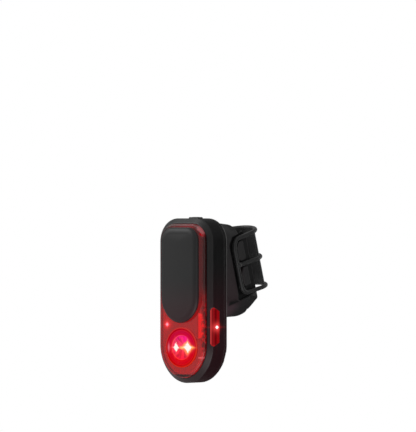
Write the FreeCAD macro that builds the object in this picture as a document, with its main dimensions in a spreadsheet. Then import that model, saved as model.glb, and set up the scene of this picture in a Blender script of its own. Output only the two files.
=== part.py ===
import FreeCAD, Part

import math
import os
import re
from enum import IntEnum

import Sketcher

# Tail light for a 27.2 mm seat post, with a rubber strap mount. Millimetres and degrees.
# The origin is on the post's axis, level with the middle rung of the strap. +Z is up, the light
# shines along -Y, and +X is its right side as someone riding behind sees it. The post leans, so the
# mount's own pieces are drawn in a frame that is turned about X by the post's lean.

SIZES = [
    ("light_front", -57.0, "Y of the lens face"),
    ("fit_gap", 0.15, "gap between fixed pieces that slide together"),
    ("close_gap", 0.05, "gap between fixed pieces that sit tightly together"),
    ("run_gap", 0.3, "gap between pieces that move past each other"),
    ("overcut", 1.0, "how far a cut reaches past the face it opens"),
    ("shell_wall", 1.8, "wall of the housing and of the rear cover"),
    ("housing_half_width", 22.2, "half width of the light"),
    ("housing_top", 28.0, "top of the light, above the origin"),
    ("housing_corner", 15.0, "radius of the light's top corners"),
    ("housing_side_end", 53.3, "where the straight sides end, below the origin"),
    ("housing_tip_radius", 19.5, "radius of the light's bottom"),
    ("housing_tip_centre", 58.7, "centre of that radius, below the origin"),
    ("bezel_front", 1.6, "depth of the bezel's front edge behind the lens face"),
    ("bezel_width", 3.2, "width of the sloped bezel face, seen from the front"),
    ("bezel_slope", 3.9, "depth of the sloped bezel face"),
    ("seam_depth", 16.2, "depth of the seam between housing and rear cover"),
    ("light_depth", 20.0, "depth of the light from lens face to back face"),
    ("back_edge_radius", 2.2, "radius of the rear cover's outer edge"),
    ("lens_inset", 3.5, "distance from the light's outline to the lens's outline"),
    ("lens_wall", 1.6, "wall of the lens"),
    ("lens_rim_radius", 1.3, "radius of the lens's front edge"),
    ("lens_skirt_depth", 4.0, "depth at which the lens's flange begins"),
    ("lens_flange", 1.05, "thickness of the lens's flange"),
    ("cover_half_width", 15.2, "half width of the radar cover"),
    ("cover_top", 22.2, "top of the radar cover, above the origin"),
    ("cover_corner", 9.0, "radius of the cover's top corners"),
    ("cover_side_end", 23.0, "where the cover's straight sides end, below the origin"),
    ("cover_tip_radius", 13.5, "radius of the cover's bottom"),
    ("cover_tip_centre", 25.9, "centre of that radius, below the origin"),
    ("cover_height", 4.5, "how far the cover stands in front of the lens face"),
    ("cover_rim_radius", 2.6, "radius of the cover's front edge"),
    ("cover_overlap", 1.7, "width of the cover's edge that overlaps the lens"),
    ("cover_neck_depth", 3.0, "depth of the cover's neck behind the lens face"),
    ("cover_wall", 1.6, "wall of the radar cover"),
    ("optic_height", 3.0, "height of the strip of lens between the cover and the optic"),
    ("optic_radius", 12.8, "radius of the optic's front ring"),
    ("optic_step_radius", 8.0, "radius of the optic's sunk middle"),
    ("optic_step_depth", 0.7, "depth of that sunk middle"),
    ("optic_rim", 1.2, "thickness of the optic's front ring"),
    ("optic_cup_radius", 11.3, "radius of the optic's cup behind its ring"),
    ("optic_back_radius", 4.8, "radius of the optic's cup at its back"),
    ("optic_depth", 6.4, "depth of the optic"),
    ("optic_pocket_radius", 3.2, "radius of the hollow that the lamp sits in"),
    ("optic_pocket_depth", 2.2, "depth of that hollow"),
    ("plate_depth", 1.9, "depth of the reflector plate's face"),
    ("plate_thickness", 1.0, "thickness of the reflector plate"),
    ("plate_inset", 5.5, "distance from the light's outline to the plate's outline"),
    ("frame_depth", 5.5, "depth of the inner frame's face"),
    ("frame_thickness", 1.2, "thickness of the inner frame"),
    ("frame_rib", 0.9, "height of the rib that carries the radar board"),
    ("rib_inset", 0.8, "distance from the cover's neck to the rib"),
    ("rib_width", 1.4, "width of the rib"),
    ("frame_gap", 0.5, "gap between the inner frame and what passes through it"),
    ("cup_hole_radius", 6.4, "radius of the frame's hole for the optic's cup"),
    ("radar_board_depth", 3.4, "depth of the radar board's face"),
    ("radar_board_inset", 0.5, "distance from the cover's neck to the radar board's edge"),
    ("board_thickness", 1.0, "thickness of a circuit board"),
    ("shield_half_width", 8.5, "half width of the radar shield"),
    ("shield_top", 14.0, "top of the radar shield, above the origin"),
    ("shield_length", 32.0, "length of the radar shield"),
    ("shield_thickness", 1.6, "thickness of the radar shield"),
    ("radar_chip_size", 9.0, "side of the radar chip"),
    ("radar_chip_thickness", 0.9, "thickness of the radar chip"),
    ("link_width", 9.0, "width of the connector between the boards"),
    ("link_height", 2.6, "height of the connector between the boards"),
    ("link_place", 26.0, "top of that connector, below the origin"),
    ("main_board_depth", 7.0, "depth of the main board's face"),
    ("main_board_half_width", 15.2, "half width of the main board"),
    ("main_board_top", 23.0, "top of the main board, above the origin"),
    ("main_board_bottom", 38.0, "bottom of the main board, below the origin"),
    ("chip_size", 7.0, "side of the main chip"),
    ("chip_thickness", 1.0, "thickness of the main chip"),
    ("charge_chip_size", 4.0, "side of the charging chip"),
    ("charge_chip_place", 9.0, "distance from the main chip to the charging chip"),
    ("lamp_board_depth", 7.2, "depth of the lamp board's face"),
    ("lamp_board_half_width", 13.0, "half width of the lamp board"),
    ("lamp_board_top", 43.0, "top of the lamp board, below the origin"),
    ("lamp_board_bottom", 67.0, "bottom of the lamp board, below the origin"),
    ("lamp_size", 3.4, "side of the main lamp"),
    ("lamp_thickness", 1.0, "thickness of the main lamp"),
    ("board_screw_place", 10.0, "distance of a lamp board screw from the middle"),
    ("board_screw_height", 2.5, "height of the lamp board above its screws"),
    ("board_screw_radius", 0.8, "radius of a lamp board screw"),
    ("board_head_radius", 1.5, "radius of its head"),
    ("board_head_height", 0.9, "height of its head"),
    ("board_screw_grip", 0.9, "length of a lamp board screw in the inner frame"),
    ("side_board_thickness", 0.8, "thickness of a side lamp's board"),
    ("side_board_gap", 1.0, "gap between that board and the housing wall"),
    ("side_board_depth", 7.0, "depth of that board's front edge"),
    ("side_board_width", 5.8, "width of that board"),
    ("side_board_top", 28.0, "top of that board, below the origin"),
    ("side_board_length", 28.0, "length of that board"),
    ("side_lamp_thickness", 0.9, "thickness of a side lamp"),
    ("side_lamp_width", 2.0, "width of a side lamp"),
    ("side_lamp_length", 3.0, "length of a side lamp"),
    ("side_lamp_depth", 10.0, "depth of a side lamp's middle"),
    ("side_lamp_height", 42.0, "middle of a side lamp, below the origin"),
    ("window_front", 3.55, "depth of a side window's front edge"),
    ("window_back", 11.2, "depth of a side window's back edge"),
    ("window_top", 29.2, "top of a side window, below the origin"),
    ("window_bottom", 54.4, "bottom of a side window, below the origin"),
    ("window_slant", 2.6, "height lost by a window's slanted end"),
    ("window_end_radius", 1.95, "height of a window's bevelled front corners"),
    ("window_end_bevel", 0.6, "how far those corners' middles lie from the front and the ends"),
    ("seal_section", 0.9, "width of the seal's groove"),
    ("seal_inset", 0.45, "distance from the light's outline to the seal's groove"),
    ("seal_thickness", 1.1, "thickness of the seal"),
    ("skirt_depth", 14.0, "depth of the rear cover's skirt edge"),
    ("skirt_wall", 1.6, "wall of the rear cover's skirt"),
    ("boss_radius", 2.6, "radius of a housing screw boss"),
    ("boss_rib", 1.4, "thickness of the rib that ties a boss to the housing's wall"),
    ("boss_place", 4.2, "distance from the light's side to an upper housing screw"),
    ("boss_start", 6.7, "depth where the housing's bosses begin"),
    ("boss_end", 13.5, "depth where the housing's bosses end"),
    ("upper_boss", 14.0, "distance from the light's top to the upper housing screws"),
    ("lower_boss", 3.8, "distance from the light's bottom outline to a lower housing screw"),
    ("lower_boss_place", 52.8, "place of that screw round the bottom, degrees below level"),
    ("screw_radius", 0.95, "radius of a housing screw"),
    ("screw_clearance", 0.15, "radial clearance of a screw in a through hole"),
    ("thread_gap", 0.03, "radial gap between a screw and its tapped hole"),
    ("screw_head_radius", 1.9, "radius of a housing screw's head"),
    ("screw_head_height", 1.3, "height of a housing screw's head"),
    ("screw_end", 9.0, "depth where the housing screws end"),
    ("pilot_extra", 0.6, "depth of a tapped hole past its screw's end"),
    ("head_gap", 0.1, "gap around a sunk screw head"),
    ("battery_half_width", 15.0, "half width of the battery cell"),
    ("battery_top", 15.0, "top of the battery cell, above the origin"),
    ("battery_length", 49.0, "length of the battery cell"),
    ("battery_depth", 9.2, "depth of the battery cell's face"),
    ("battery_thickness", 6.8, "thickness of the battery cell"),
    ("battery_edge", 2.0, "radius of the battery cell's long edges"),
    ("foam_margin", 3.0, "distance from the cell's edge to the foam's edge"),
    ("foam_gap", 0.1, "gap in front of and behind the foam"),
    ("lead_radius", 0.5, "radius of a battery lead"),
    ("lead_depth", 9.8, "depth of the battery leads"),
    ("lead_spacing", 2.4, "distance between the battery leads"),
    ("plug_place", 9.0, "distance of the battery plug from the middle"),
    ("plug_width", 5.5, "width of the battery plug"),
    ("plug_height", 3.0, "height of the battery plug"),
    ("plug_thickness", 2.8, "thickness of the battery plug"),
    ("plug_gap", 2.0, "gap between battery and plug"),
    ("cable_width", 9.0, "width of the flat cable"),
    ("cable_thickness", 0.2, "thickness of the flat cable"),
    ("cable_overlap", 3.0, "length of the flat cable on each board"),
    ("button_depth", 14.0, "depth of the power button's middle"),
    ("button_length", 5.5, "length of the power button, across the light"),
    ("button_width", 3.0, "width of the power button, front to back"),
    ("button_rise", 1.15, "how far the power button stands above the housing"),
    ("button_flange", 0.9, "how far the button's flange reaches past each end of its stem"),
    ("button_flange_height", 0.8, "height of the button's flange"),
    ("button_travel", 0.6, "travel of the power button"),
    ("collar_length", 8.0, "length of the collar around the power button"),
    ("collar_width", 4.2, "width of the collar around the power button"),
    ("collar_height", 0.5, "height of the collar around the power button"),
    ("switch_board_left", 5.8, "distance from the middle to the switch board's left end"),
    ("switch_board_right", 6.5, "distance from the middle to its right end"),
    ("switch_board_top", 19.4, "top of the switch board, above the origin"),
    ("switch_length", 6.0, "length of the switch"),
    ("switch_width", 3.4, "width of the switch"),
    ("switch_height", 3.2, "height of the switch"),
    ("plunger_radius", 0.8, "radius of the switch plunger"),
    ("plunger_rise", 1.3, "how far the plunger stands above the switch"),
    ("plunger_depth", 1.6, "depth of the plunger's hole in the switch"),
    ("plunger_hole_gap", 0.06, "radial gap around the plunger"),
    ("touch_gap", 0.05, "gap between the button and the plunger"),
    ("port_height", 10.2, "height of the charging port above the lower housing screws"),
    ("port_half_width", 4.5, "half width of the charging socket"),
    ("port_half_height", 1.65, "half height of the charging socket"),
    ("port_wall", 0.35, "wall of the charging socket"),
    ("port_back", 0.5, "gap between the charging socket's mouth and the rear cover's wall"),
    ("port_hollow", 6.0, "depth of the charging socket's hollow"),
    ("flap_left", 8.5, "distance from the middle to the flap's hinge side"),
    ("flap_right", 18.2, "distance from the middle to the flap's free end"),
    ("flap_half_height", 4.4, "half height of the port flap"),
    ("flap_thickness", 1.0, "thickness of the port flap"),
    ("plug_tongue_half_width", 3.7, "half width of the flap's tongue"),
    ("plug_tongue_half_height", 0.9, "half height of the flap's tongue"),
    ("plug_tongue_length", 1.4, "length of the flap's tongue"),
    ("notch_half_height", 2.4, "half height of the fingernail notch"),
    ("notch_floor", 18.6, "distance from the middle to the fingernail notch"),
    ("notch_depth", 1.6, "depth of the fingernail notch from the back face"),
    ("twist_height", 5.0, "axis of the quarter turn, below the origin"),
    ("neck_radius", 9.9, "radius of the twist boss's neck"),
    ("neck_gap", 0.1, "radial running gap of the neck"),
    ("lug_radius", 12.7, "radius of the twist boss's lugs"),
    ("lug_half_width", 4.8, "half width of a lug"),
    ("lug_thickness", 1.6, "thickness of a lug"),
    ("lug_gap", 0.25, "gap before and behind a lug"),
    ("socket_radius", 15.2, "outer radius of the twist socket"),
    ("socket_lip", 1.6, "thickness of the twist socket's front wall"),
    ("socket_floor", 1.6, "thickness of the twist socket's floor"),
    ("socket_screw_circle", 7.0, "distance of the socket's screws from its axis"),
    ("socket_screw_radius", 1.0, "radius of a socket screw"),
    ("socket_head_radius", 1.8, "radius of a socket screw's head"),
    ("socket_head_height", 0.9, "height of a socket screw's head"),
    ("socket_screw_length", 6.5, "length of a socket screw"),
    ("twist_screw_place", 5.5, "distance of a twist boss screw from the axis"),
    ("twist_screw_end", 0.2, "distance from the rear cover's inner face to that screw's end"),
    ("detent_thickness", 0.35, "thickness of a detent spring"),
    ("detent_half_length", 3.5, "half length of a detent spring"),
    ("detent_gap", 0.45, "gap between a lug and a detent spring"),
    ("detent_pocket", 0.35, "gap around a detent spring in its pocket"),
    ("post_tilt", 17.0, "lean of the seat post, degrees from upright"),
    ("post_radius", 13.6, "radius of the seat post"),
    ("mount_gap", 0.3, "gap between the light's back face and the mount"),
    ("front_half_width", 16.7, "half width of the mount behind the light"),
    ("front_top", 25.5, "top of the mount there, above the origin"),
    ("front_corner", 9.0, "radius of its top corners there"),
    ("front_side_end", 18.0, "where its straight sides end, below the origin"),
    ("front_tip_radius", 16.0, "radius of its bottom there"),
    ("front_tip_centre", 21.2, "centre of that radius, below the origin"),
    ("rear_half_width", 15.8, "half width of the mount at its rubber pad"),
    ("rear_top", 29.2, "top of the mount there, along the post"),
    ("rear_corner", 8.5, "radius of its top corners there"),
    ("rear_side_end", 15.8, "where its straight sides end, along the post"),
    ("rear_tip_radius", 14.5, "radius of its bottom there"),
    ("rear_tip_centre", 19.2, "centre of that radius, along the post"),
    ("pad_inset", 0.7, "distance from the mount's outline to the pad's outline"),
    ("pad_top_end", 19.6, "top of the pad at the ends of its ears, along the post"),
    ("pad_seam", 13.0, "distance from the post's axis to the pad's seam"),
    ("pad_thickness", 2.1, "thickness of the pad in front of the post"),
    ("pad_ear", 3.3, "distance from the post's axis to the ends of the pad's ears"),
    ("pad_ear_half_width", 13.7, "half width of the pad at the ends of its ears"),
    ("slot_floor", 14.1, "half width of the mount between its strap slots"),
    ("pad_slot_floor", 13.75, "half width of the pad between the strap's rungs"),
    ("slot_front", 24.5, "front of a strap slot, from the post's axis"),
    ("slot_top", 22.6, "top of a strap slot, along the post"),
    ("slot_bottom", 19.5, "bottom of a strap slot, along the post"),
    ("slot_bevel", 4.5, "bevel of a strap slot's upper front corner"),
    ("slot_lower_bevel", 1.5, "bevel of a strap slot's lower front corner"),
    ("tab_front", 18.1, "front of a hook tab, from the post's axis"),
    ("tab_back", 11.5, "back of a hook tab, from the post's axis"),
    ("tab_half_width", 17.2, "half width of the mount over its hook tabs"),
    ("tab_height", 12.2, "height of a hook tab"),
    ("tab_bevel", 3.0, "bevel of a hook tab's upper front corner"),
    ("tab_lower_bevel", 1.4, "bevel of a hook tab's lower front corner"),
    ("strap_radius", 1.4, "radius of a strap rung"),
    ("strap_loop_radius", 15.1, "radius of a rung's loop"),
    ("strap_pitch", 18.5, "distance between rungs behind the post"),
    ("bar_pitch", 17.2, "distance between rungs at the end bars"),
    ("bar_rise", 3.1, "height of the middle rung at the end bars"),
    ("bar_half_width", 15.9, "distance from the middle to a strap end bar"),
    ("bar_front", 19.75, "distance from the post's axis to a strap end bar, forwards"),
    ("strap_drop", 1.0, "how far the lowest rung lies below its pitch behind the post"),
    ("bar_drop", 2.0, "how far it lies below its pitch at the end bars"),
    ("bar_corner", 6.5, "radius of the strap's outer corners"),
    ("web_inner_radius", 13.8, "inner radius of the strap's web"),
    ("web_thickness", 0.75, "thickness of the strap's web"),
    ("web_half_angle", 67.0, "half angle of the strap's web, degrees"),
]

doc = FreeCAD.newDocument("tail_light")
sheet = doc.addObject("Spreadsheet::Sheet", "sizes")
for row, (alias, value, meaning) in enumerate(SIZES, start=1):
    sheet.set(f"A{row}", meaning)
    sheet.set(f"B{row}", str(value))
    sheet.setAlias(f"B{row}", alias)
doc.recompute()



class Point(IntEnum):
    """Codes of a sketch line's or arc's points in constraints."""

    START = 1
    END = 2
    CENTRE = 3


class Axis(IntEnum):
    """Codes of a sketch's own axes. The first point of the X axis is the origin."""

    X = -1
    Y = -2


START, END, CENTRE = Point
X_AXIS, Y_AXIS = Axis
ORIGIN = X_AXIS
ABOUT_X = FreeCAD.Vector(1, 0, 0)
UPRIGHT = FreeCAD.Rotation(ABOUT_X, 90)
SIDEWAYS = FreeCAD.Rotation(FreeCAD.Vector(1, 1, 1), 120)
LEVEL = FreeCAD.Rotation()
ALONG = {
    "X": FreeCAD.Rotation(FreeCAD.Vector(0, 1, 0), 90),
    "Y": FreeCAD.Rotation(ABOUT_X, -90),
    "Z": LEVEL,
}
OPTIC_Z = "0 - cover_tip_centre - cover_tip_radius - optic_height - optic_radius"
BOARD_SCREW_Z = "0 - lamp_board_top - board_screw_height"
LOWER_SCREW_X = "(housing_tip_radius - lower_boss) * cos(lower_boss_place * 1deg)"
LOWER_SCREW_Z = (
    "0 - housing_tip_centre - (housing_tip_radius - lower_boss) * sin(lower_boss_place * 1deg)"
)
PORT_Z = f"{LOWER_SCREW_Z} + port_height"
pieces = []


def number(expression):
    """Value of a sum of products of plain numbers and of the sheet's sizes."""
    total = 0.0
    for sign, term in re.findall(r"([+-]?)\s*([^+-]+)", expression):
        product = 1.0
        for operator, factor in re.findall(r"([*/]?)\s*([\w.]+)", term):
            value = sheet.get(factor) if factor[0].isalpha() else float(factor)
            product = product / value if operator == "/" else product * value
        total += -product if sign == "-" else product
    return total


def linked(expression):
    """The same expression as the document reads it, with its sizes taken from the sheet."""
    return re.sub(r"\b(?!cos|sin)[a-z]\w*", r"sizes.\g<0>", expression)


def bind(item, **expressions):
    """Ties properties of an object to the sheet."""
    for name, expression in expressions.items():
        item.setExpression(name, linked(expression))


def place(item, x="0", y="0", z="0"):
    """Ties an object's position to the sheet and leaves its turn as it is."""
    for letter, expression in (("x", x), ("y", y), ("z", z)):
        item.setExpression(f"Placement.Base.{letter}", linked(expression))


def lean(item):
    """Turns an object drawn along the post about X, by the post's lean."""
    item.Placement = FreeCAD.Placement(FreeCAD.Vector(), FreeCAD.Rotation(ABOUT_X, 1))
    item.setExpression("Placement.Rotation.Angle", linked("post_tilt"))
    return item


def piece(item, name):
    """Names an object as a finished sub-part."""
    item.Label = name
    pieces.append(item)
    return item


def box(name, corner, size):
    item = doc.addObject("Part::Box", name)
    bind(item, Length=size[0], Width=size[1], Height=size[2])
    place(item, *corner)
    return item


def rod(name, start, axis, radius, length):
    item = doc.addObject("Part::Cylinder", name)
    item.Placement = FreeCAD.Placement(FreeCAD.Vector(), ALONG[axis])
    bind(item, Radius=radius, Height=length)
    place(item, *start)
    return item


def fuse(name, *items):
    item = doc.addObject("Part::MultiFuse", name)
    item.Shapes = list(items)
    return item


def group(name, items):
    item = doc.addObject("Part::Compound", name)
    item.Links = list(items)
    return item


def cut(name, base, *tools):
    item = doc.addObject("Part::Cut", name)
    item.Base = base
    item.Tool = tools[0] if len(tools) == 1 else fuse(name + "_tools", *tools)
    return item


def common(name, first, second):
    item = doc.addObject("Part::Common", name)
    item.Base = first
    item.Tool = second
    return item


def mirrored(name, source):
    """The same object on the other side of the light."""
    item = doc.addObject("Part::Mirroring", name)
    item.Source = source
    item.Normal = FreeCAD.Vector(1, 0, 0)
    return item


def limit(sketch, kind, *arguments):
    """Adds a dimension whose value is the last argument, an expression of the sheet's sizes."""
    expression = arguments[-1]
    index = sketch.addConstraint(Sketcher.Constraint(kind, *arguments[:-1], number(expression)))
    sketch.setExpression(f"Constraints[{index}]", linked(expression))


def pin(sketch, line, end, x, y):
    """Fixes one end of a line at x, y from the sketch's origin."""
    for kind, axis, expression in (("DistanceX", Y_AXIS, x), ("DistanceY", X_AXIS, y)):
        value = number(expression)
        if abs(value) < 1e-9:
            sketch.addConstraint(Sketcher.Constraint("PointOnObject", line, end, axis))
            continue
        points = (ORIGIN, START, line, end) if value > 0 else (line, end, ORIGIN, START)
        index = sketch.addConstraint(Sketcher.Constraint(kind, *points, abs(value)))
        text = linked(expression)
        sketch.setExpression(f"Constraints[{index}]", text if value > 0 else f"-({text})")


def polygon(sketch, points):
    """Closed outline of straight lines through points given as pairs of expressions."""
    first = sketch.GeometryCount
    spots = [FreeCAD.Vector(number(x), number(y), 0) for x, y in points]
    count = len(spots)
    for index in range(count):
        sketch.addGeometry(Part.LineSegment(spots[index], spots[(index + 1) % count]))
    for index in range(count):
        after = (index + 1) % count
        sketch.addConstraint(
            Sketcher.Constraint("Coincident", first + index, END, first + after, START)
        )
        pin(sketch, first + index, START, *points[index])


def outline(sketch, family, shrink=""):
    """Outline with rounded top corners and a slightly long round bottom.

    The outlines of a family share the centres of their arcs, so shrink, a signed expression,
    draws one inside the other at an even distance.
    """
    half_width = f"{family}_half_width {shrink}"
    top = f"{family}_top {shrink}"
    corner = f"{family}_corner {shrink}"
    tip_radius = f"{family}_tip_radius {shrink}"
    wide = number(half_width)
    high = number(top)
    bend = number(corner)
    tip = number(tip_radius)
    side_end = number(f"{family}_side_end")
    tip_centre = number(f"{family}_tip_centre")
    drop = tip_centre - side_end
    belly = (wide**2 + drop**2 - tip**2) / (2 * (wide - tip))
    angle = math.atan2(drop, belly - wide)
    turn = math.pi / 2

    def spot(x, y):
        return FreeCAD.Vector(x, y, 0)

    def arc(x, y, radius, start, end):
        circle = Part.Circle(spot(x, y), FreeCAD.Vector(0, 0, 1), radius)
        return Part.ArcOfCircle(circle, start, end)

    inner = wide - bend
    geometry = [
        Part.LineSegment(spot(-inner, high), spot(inner, high)),
        arc(inner, high - bend, bend, 0, turn),
        Part.LineSegment(spot(wide, high - bend), spot(wide, -side_end)),
        arc(wide - belly, -side_end, belly, -angle, 0),
        arc(0, -tip_centre, tip, 2 * turn + angle, 4 * turn - angle),
        arc(belly - wide, -side_end, belly, 2 * turn, 2 * turn + angle),
        Part.LineSegment(spot(-wide, -side_end), spot(-wide, high - bend)),
        arc(-inner, high - bend, bend, turn, 2 * turn),
    ]
    first = sketch.GeometryCount
    sketch.addGeometry(geometry)
    top_line, right_corner, right, right_belly, bottom, left_belly, left, left_corner = (
        first + index for index in range(8)
    )
    for one, one_end, other, other_end in (
        (top_line, END, right_corner, END),
        (right_corner, START, right, START),
        (right, END, right_belly, END),
        (right_belly, START, bottom, END),
        (bottom, START, left_belly, END),
        (left_belly, START, left, START),
        (left, END, left_corner, END),
        (left_corner, START, top_line, START),
    ):
        sketch.addConstraint(Sketcher.Constraint("Tangent", one, one_end, other, other_end))
    sketch.addConstraint(Sketcher.Constraint("Vertical", right))
    sketch.addConstraint(Sketcher.Constraint("Vertical", left))
    sketch.addConstraint(Sketcher.Constraint("Equal", right_corner, left_corner))
    sketch.addConstraint(Sketcher.Constraint("Equal", right_belly, left_belly))
    sketch.addConstraint(
        Sketcher.Constraint("Symmetric", top_line, START, top_line, END, Y_AXIS)
    )
    sketch.addConstraint(Sketcher.Constraint("PointOnObject", bottom, CENTRE, Y_AXIS))
    limit(sketch, "DistanceX", ORIGIN, START, right, END, half_width)
    limit(sketch, "DistanceY", ORIGIN, START, top_line, END, top)
    limit(sketch, "Radius", right_corner, corner)
    limit(sketch, "DistanceY", right, END, ORIGIN, START, f"{family}_side_end")
    limit(sketch, "Radius", bottom, tip_radius)
    limit(sketch, "DistanceY", bottom, CENTRE, ORIGIN, START, f"{family}_tip_centre")


def body_of(name):
    return doc.addObject("PartDesign::Body", name)


def section(body, name, depth):
    """Sketch of a body in the upright plane that lies depth behind the lens face."""
    sketch = body.newObject("Sketcher::SketchObject", name)
    plane = next(item for item in body.Origin.OriginFeatures if item.Role == "XZ_Plane")
    sketch.AttachmentSupport = (plane, "")
    sketch.MapMode = "FlatFace"
    sketch.setExpression("AttachmentOffset.Base.z", f"-({linked('light_front + ' + depth)})")
    return sketch


def pad(body, name, depth, end, *outlines):
    """Adds a slab between two depths to a body."""
    sketch = section(body, name + "_outline", depth)
    for family, shrink in outlines:
        outline(sketch, family, shrink)
    feature = body.newObject("PartDesign::Pad", name)
    feature.Profile = sketch
    feature.Reversed = True
    feature.setExpression("Length", f"({linked(end)}) - ({linked(depth)})")
    return feature


def pocket(body, name, depth, end, *outlines):
    """Takes a slab between two depths out of a body."""
    sketch = section(body, name + "_outline", depth)
    for family, shrink in outlines:
        outline(sketch, family, shrink)
    feature = body.newObject("PartDesign::Pocket", name)
    feature.Profile = sketch
    feature.setExpression("Length", f"({linked(end)}) - ({linked(depth)})")
    return feature


def edges_in_plane(feature, depth):
    """Names of a feature's edges that lie in the plane at a depth."""
    doc.recompute()
    level = number("light_front + " + depth)
    names = []
    for index, edge in enumerate(feature.Shape.Edges, start=1):
        extent = edge.BoundBox
        if abs(extent.YMin - level) < 1e-4 and abs(extent.YMax - level) < 1e-4:
            names.append(f"Edge{index}")
    return names


def free_sketch(name, rotation, x="0", y="0", z="0"):
    sketch = doc.addObject("Sketcher::SketchObject", name)
    sketch.Placement = FreeCAD.Placement(FreeCAD.Vector(), rotation)
    place(sketch, x, y, z)
    return sketch


def prism(name, sketch, length, reverse=False, both_ways=False):
    item = doc.addObject("Part::Extrusion", name)
    item.Base = sketch
    item.DirMode = "Normal"
    item.Solid = True
    item.Reversed = reverse
    item.Symmetric = both_ways
    bind(item, LengthFwd=length)
    return item


def front_housing():
    """Black shell with the sloped bezel, the side walls and the screw bosses."""
    body = body_of("housing_shell")
    shell = pad(body, "housing_block", "bezel_front", "seam_depth", ("housing", ""))
    bevel = body.newObject("PartDesign::Chamfer", "bezel")
    bevel.Base = (shell, edges_in_plane(shell, "bezel_front"))
    bevel.ChamferType = "Two distances"
    bind(bevel, Size="bezel_width", Size2="bezel_slope")
    pocket(body, "lens_hole", "bezel_front", "seam_depth", ("housing", "- lens_inset + fit_gap"))
    pocket(body, "housing_hollow", "lens_skirt_depth", "seam_depth", ("housing", "- shell_wall"))
    collar = box(
        "button_collar",
        (
            "0 - collar_length / 2",
            "light_front + button_depth - collar_width / 2",
            "housing_top - shell_wall / 2",
        ),
        ("collar_length", "collar_width", "shell_wall / 2 + collar_height"),
    )
    button_hole = box(
        "button_hole",
        (
            "0 - button_length / 2 - run_gap",
            "light_front + button_depth - button_width / 2 - run_gap",
            "housing_top - 2 * shell_wall",
        ),
        ("button_length + 2 * run_gap", "button_width + 2 * run_gap", "4 * shell_wall"),
    )
    bosses = screw_rods("housing_boss", "boss_start", "boss_end", "boss_radius") + boss_ribs()
    inside = common("housing_bosses", fuse("boss_rods", *bosses), housing_envelope("boss_limit"))
    pilots = screw_rods(
        "boss_hole", "screw_end - pilot_extra", "seam_depth", "screw_radius + thread_gap"
    )
    whole = fuse("housing_with_bosses", body, collar, inside)
    windows = [
        window_region("window_hole_right", "0"),
        mirrored("window_hole_left", window_region("window_hole_twin", "0")),
    ]
    piece(cut("front_housing", whole, button_hole, *pilots, *windows), "front_housing")


def housing_envelope(name):
    """The housing's outline at half its wall, which trims what is built inside it."""
    sketch = free_sketch(name + "_outline", UPRIGHT, y="light_front + lens_skirt_depth")
    outline(sketch, "housing", "- shell_wall / 2")
    return prism(name, sketch, "light_depth", reverse=True)


def screw_spots():
    """Places of the four housing screws, as pairs of expressions for X and Z."""
    pairs = (
        ("(housing_half_width - boss_place)", "housing_top - upper_boss"),
        (LOWER_SCREW_X, LOWER_SCREW_Z),
    )
    return [(sign + across, height) for across, height in pairs for sign in ("0 - ", "")]


def boss_ribs():
    """Ribs from the housing's bosses outwards: to the sides above and downwards below."""
    depth = "light_front + boss_start"
    length = "boss_end - boss_start"
    ribs = []
    for index, (x, z) in enumerate(screw_spots(), start=1):
        name = f"boss_rib_{index}"
        if z == LOWER_SCREW_Z:
            corner = (f"{x} - boss_rib / 2", depth, f"{z} - housing_tip_radius")
            ribs.append(box(name, corner, ("boss_rib", length, "housing_tip_radius")))
        else:
            side = "0 - housing_half_width" if x.startswith("0") else x
            corner = (side, depth, f"{z} - boss_rib / 2")
            ribs.append(box(name, corner, ("boss_place", length, "boss_rib")))
    return ribs


def screw_rods(name, depth, end, radius):
    """One rod along Y at each housing screw, between two depths."""
    return [
        rod(f"{name}_{index}", (x, f"light_front + {depth}", z), "Y", radius, f"({end}) - ({depth})")
        for index, (x, z) in enumerate(screw_spots(), start=1)
    ]


def window_region(name, clearance):
    """Prism along X with a side window's outline: round corners in front, slanted ones behind."""
    front = f"light_front + window_front + {clearance}"
    ridge = "light_front + bezel_front + bezel_slope"
    back = f"light_front + window_back - {clearance}"
    top = f"0 - window_top - {clearance}"
    bottom = f"0 - window_bottom + {clearance}"
    sketch = free_sketch(name + "_outline", SIDEWAYS, x="lens_inset")
    polygon(
        sketch,
        [
            (f"{front}", f"{top} - window_end_radius"),
            (f"{front} + window_end_bevel", f"{top} - window_end_bevel"),
            (ridge, top),
            (back, f"{top} - window_slant"),
            (back, f"{bottom} + window_slant"),
            (ridge, bottom),
            (f"{front} + window_end_bevel", f"{bottom} + window_end_bevel"),
            (f"{front}", f"{bottom} + window_end_radius"),
        ],
    )
    return prism(name, sketch, "2 * housing_half_width")


def side_windows():
    """Red windows that wrap the ridge between the bezel and the side walls."""
    body = body_of("window_shell")
    block = pad(body, "window_block", "bezel_front", "seam_depth", ("housing", ""))
    bevel = body.newObject("PartDesign::Chamfer", "window_bevel")
    bevel.Base = (block, edges_in_plane(block, "bezel_front"))
    bevel.ChamferType = "Two distances"
    bind(bevel, Size="bezel_width", Size2="bezel_slope")
    pocket(body, "window_inside", "bezel_front", "seam_depth", ("housing", "- shell_wall"))
    right = common("right_window_shape", body, window_region("window_region", "close_gap"))
    piece(right, "side_window_right")
    piece(mirrored("left_window_shape", right), "side_window_left")


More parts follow.
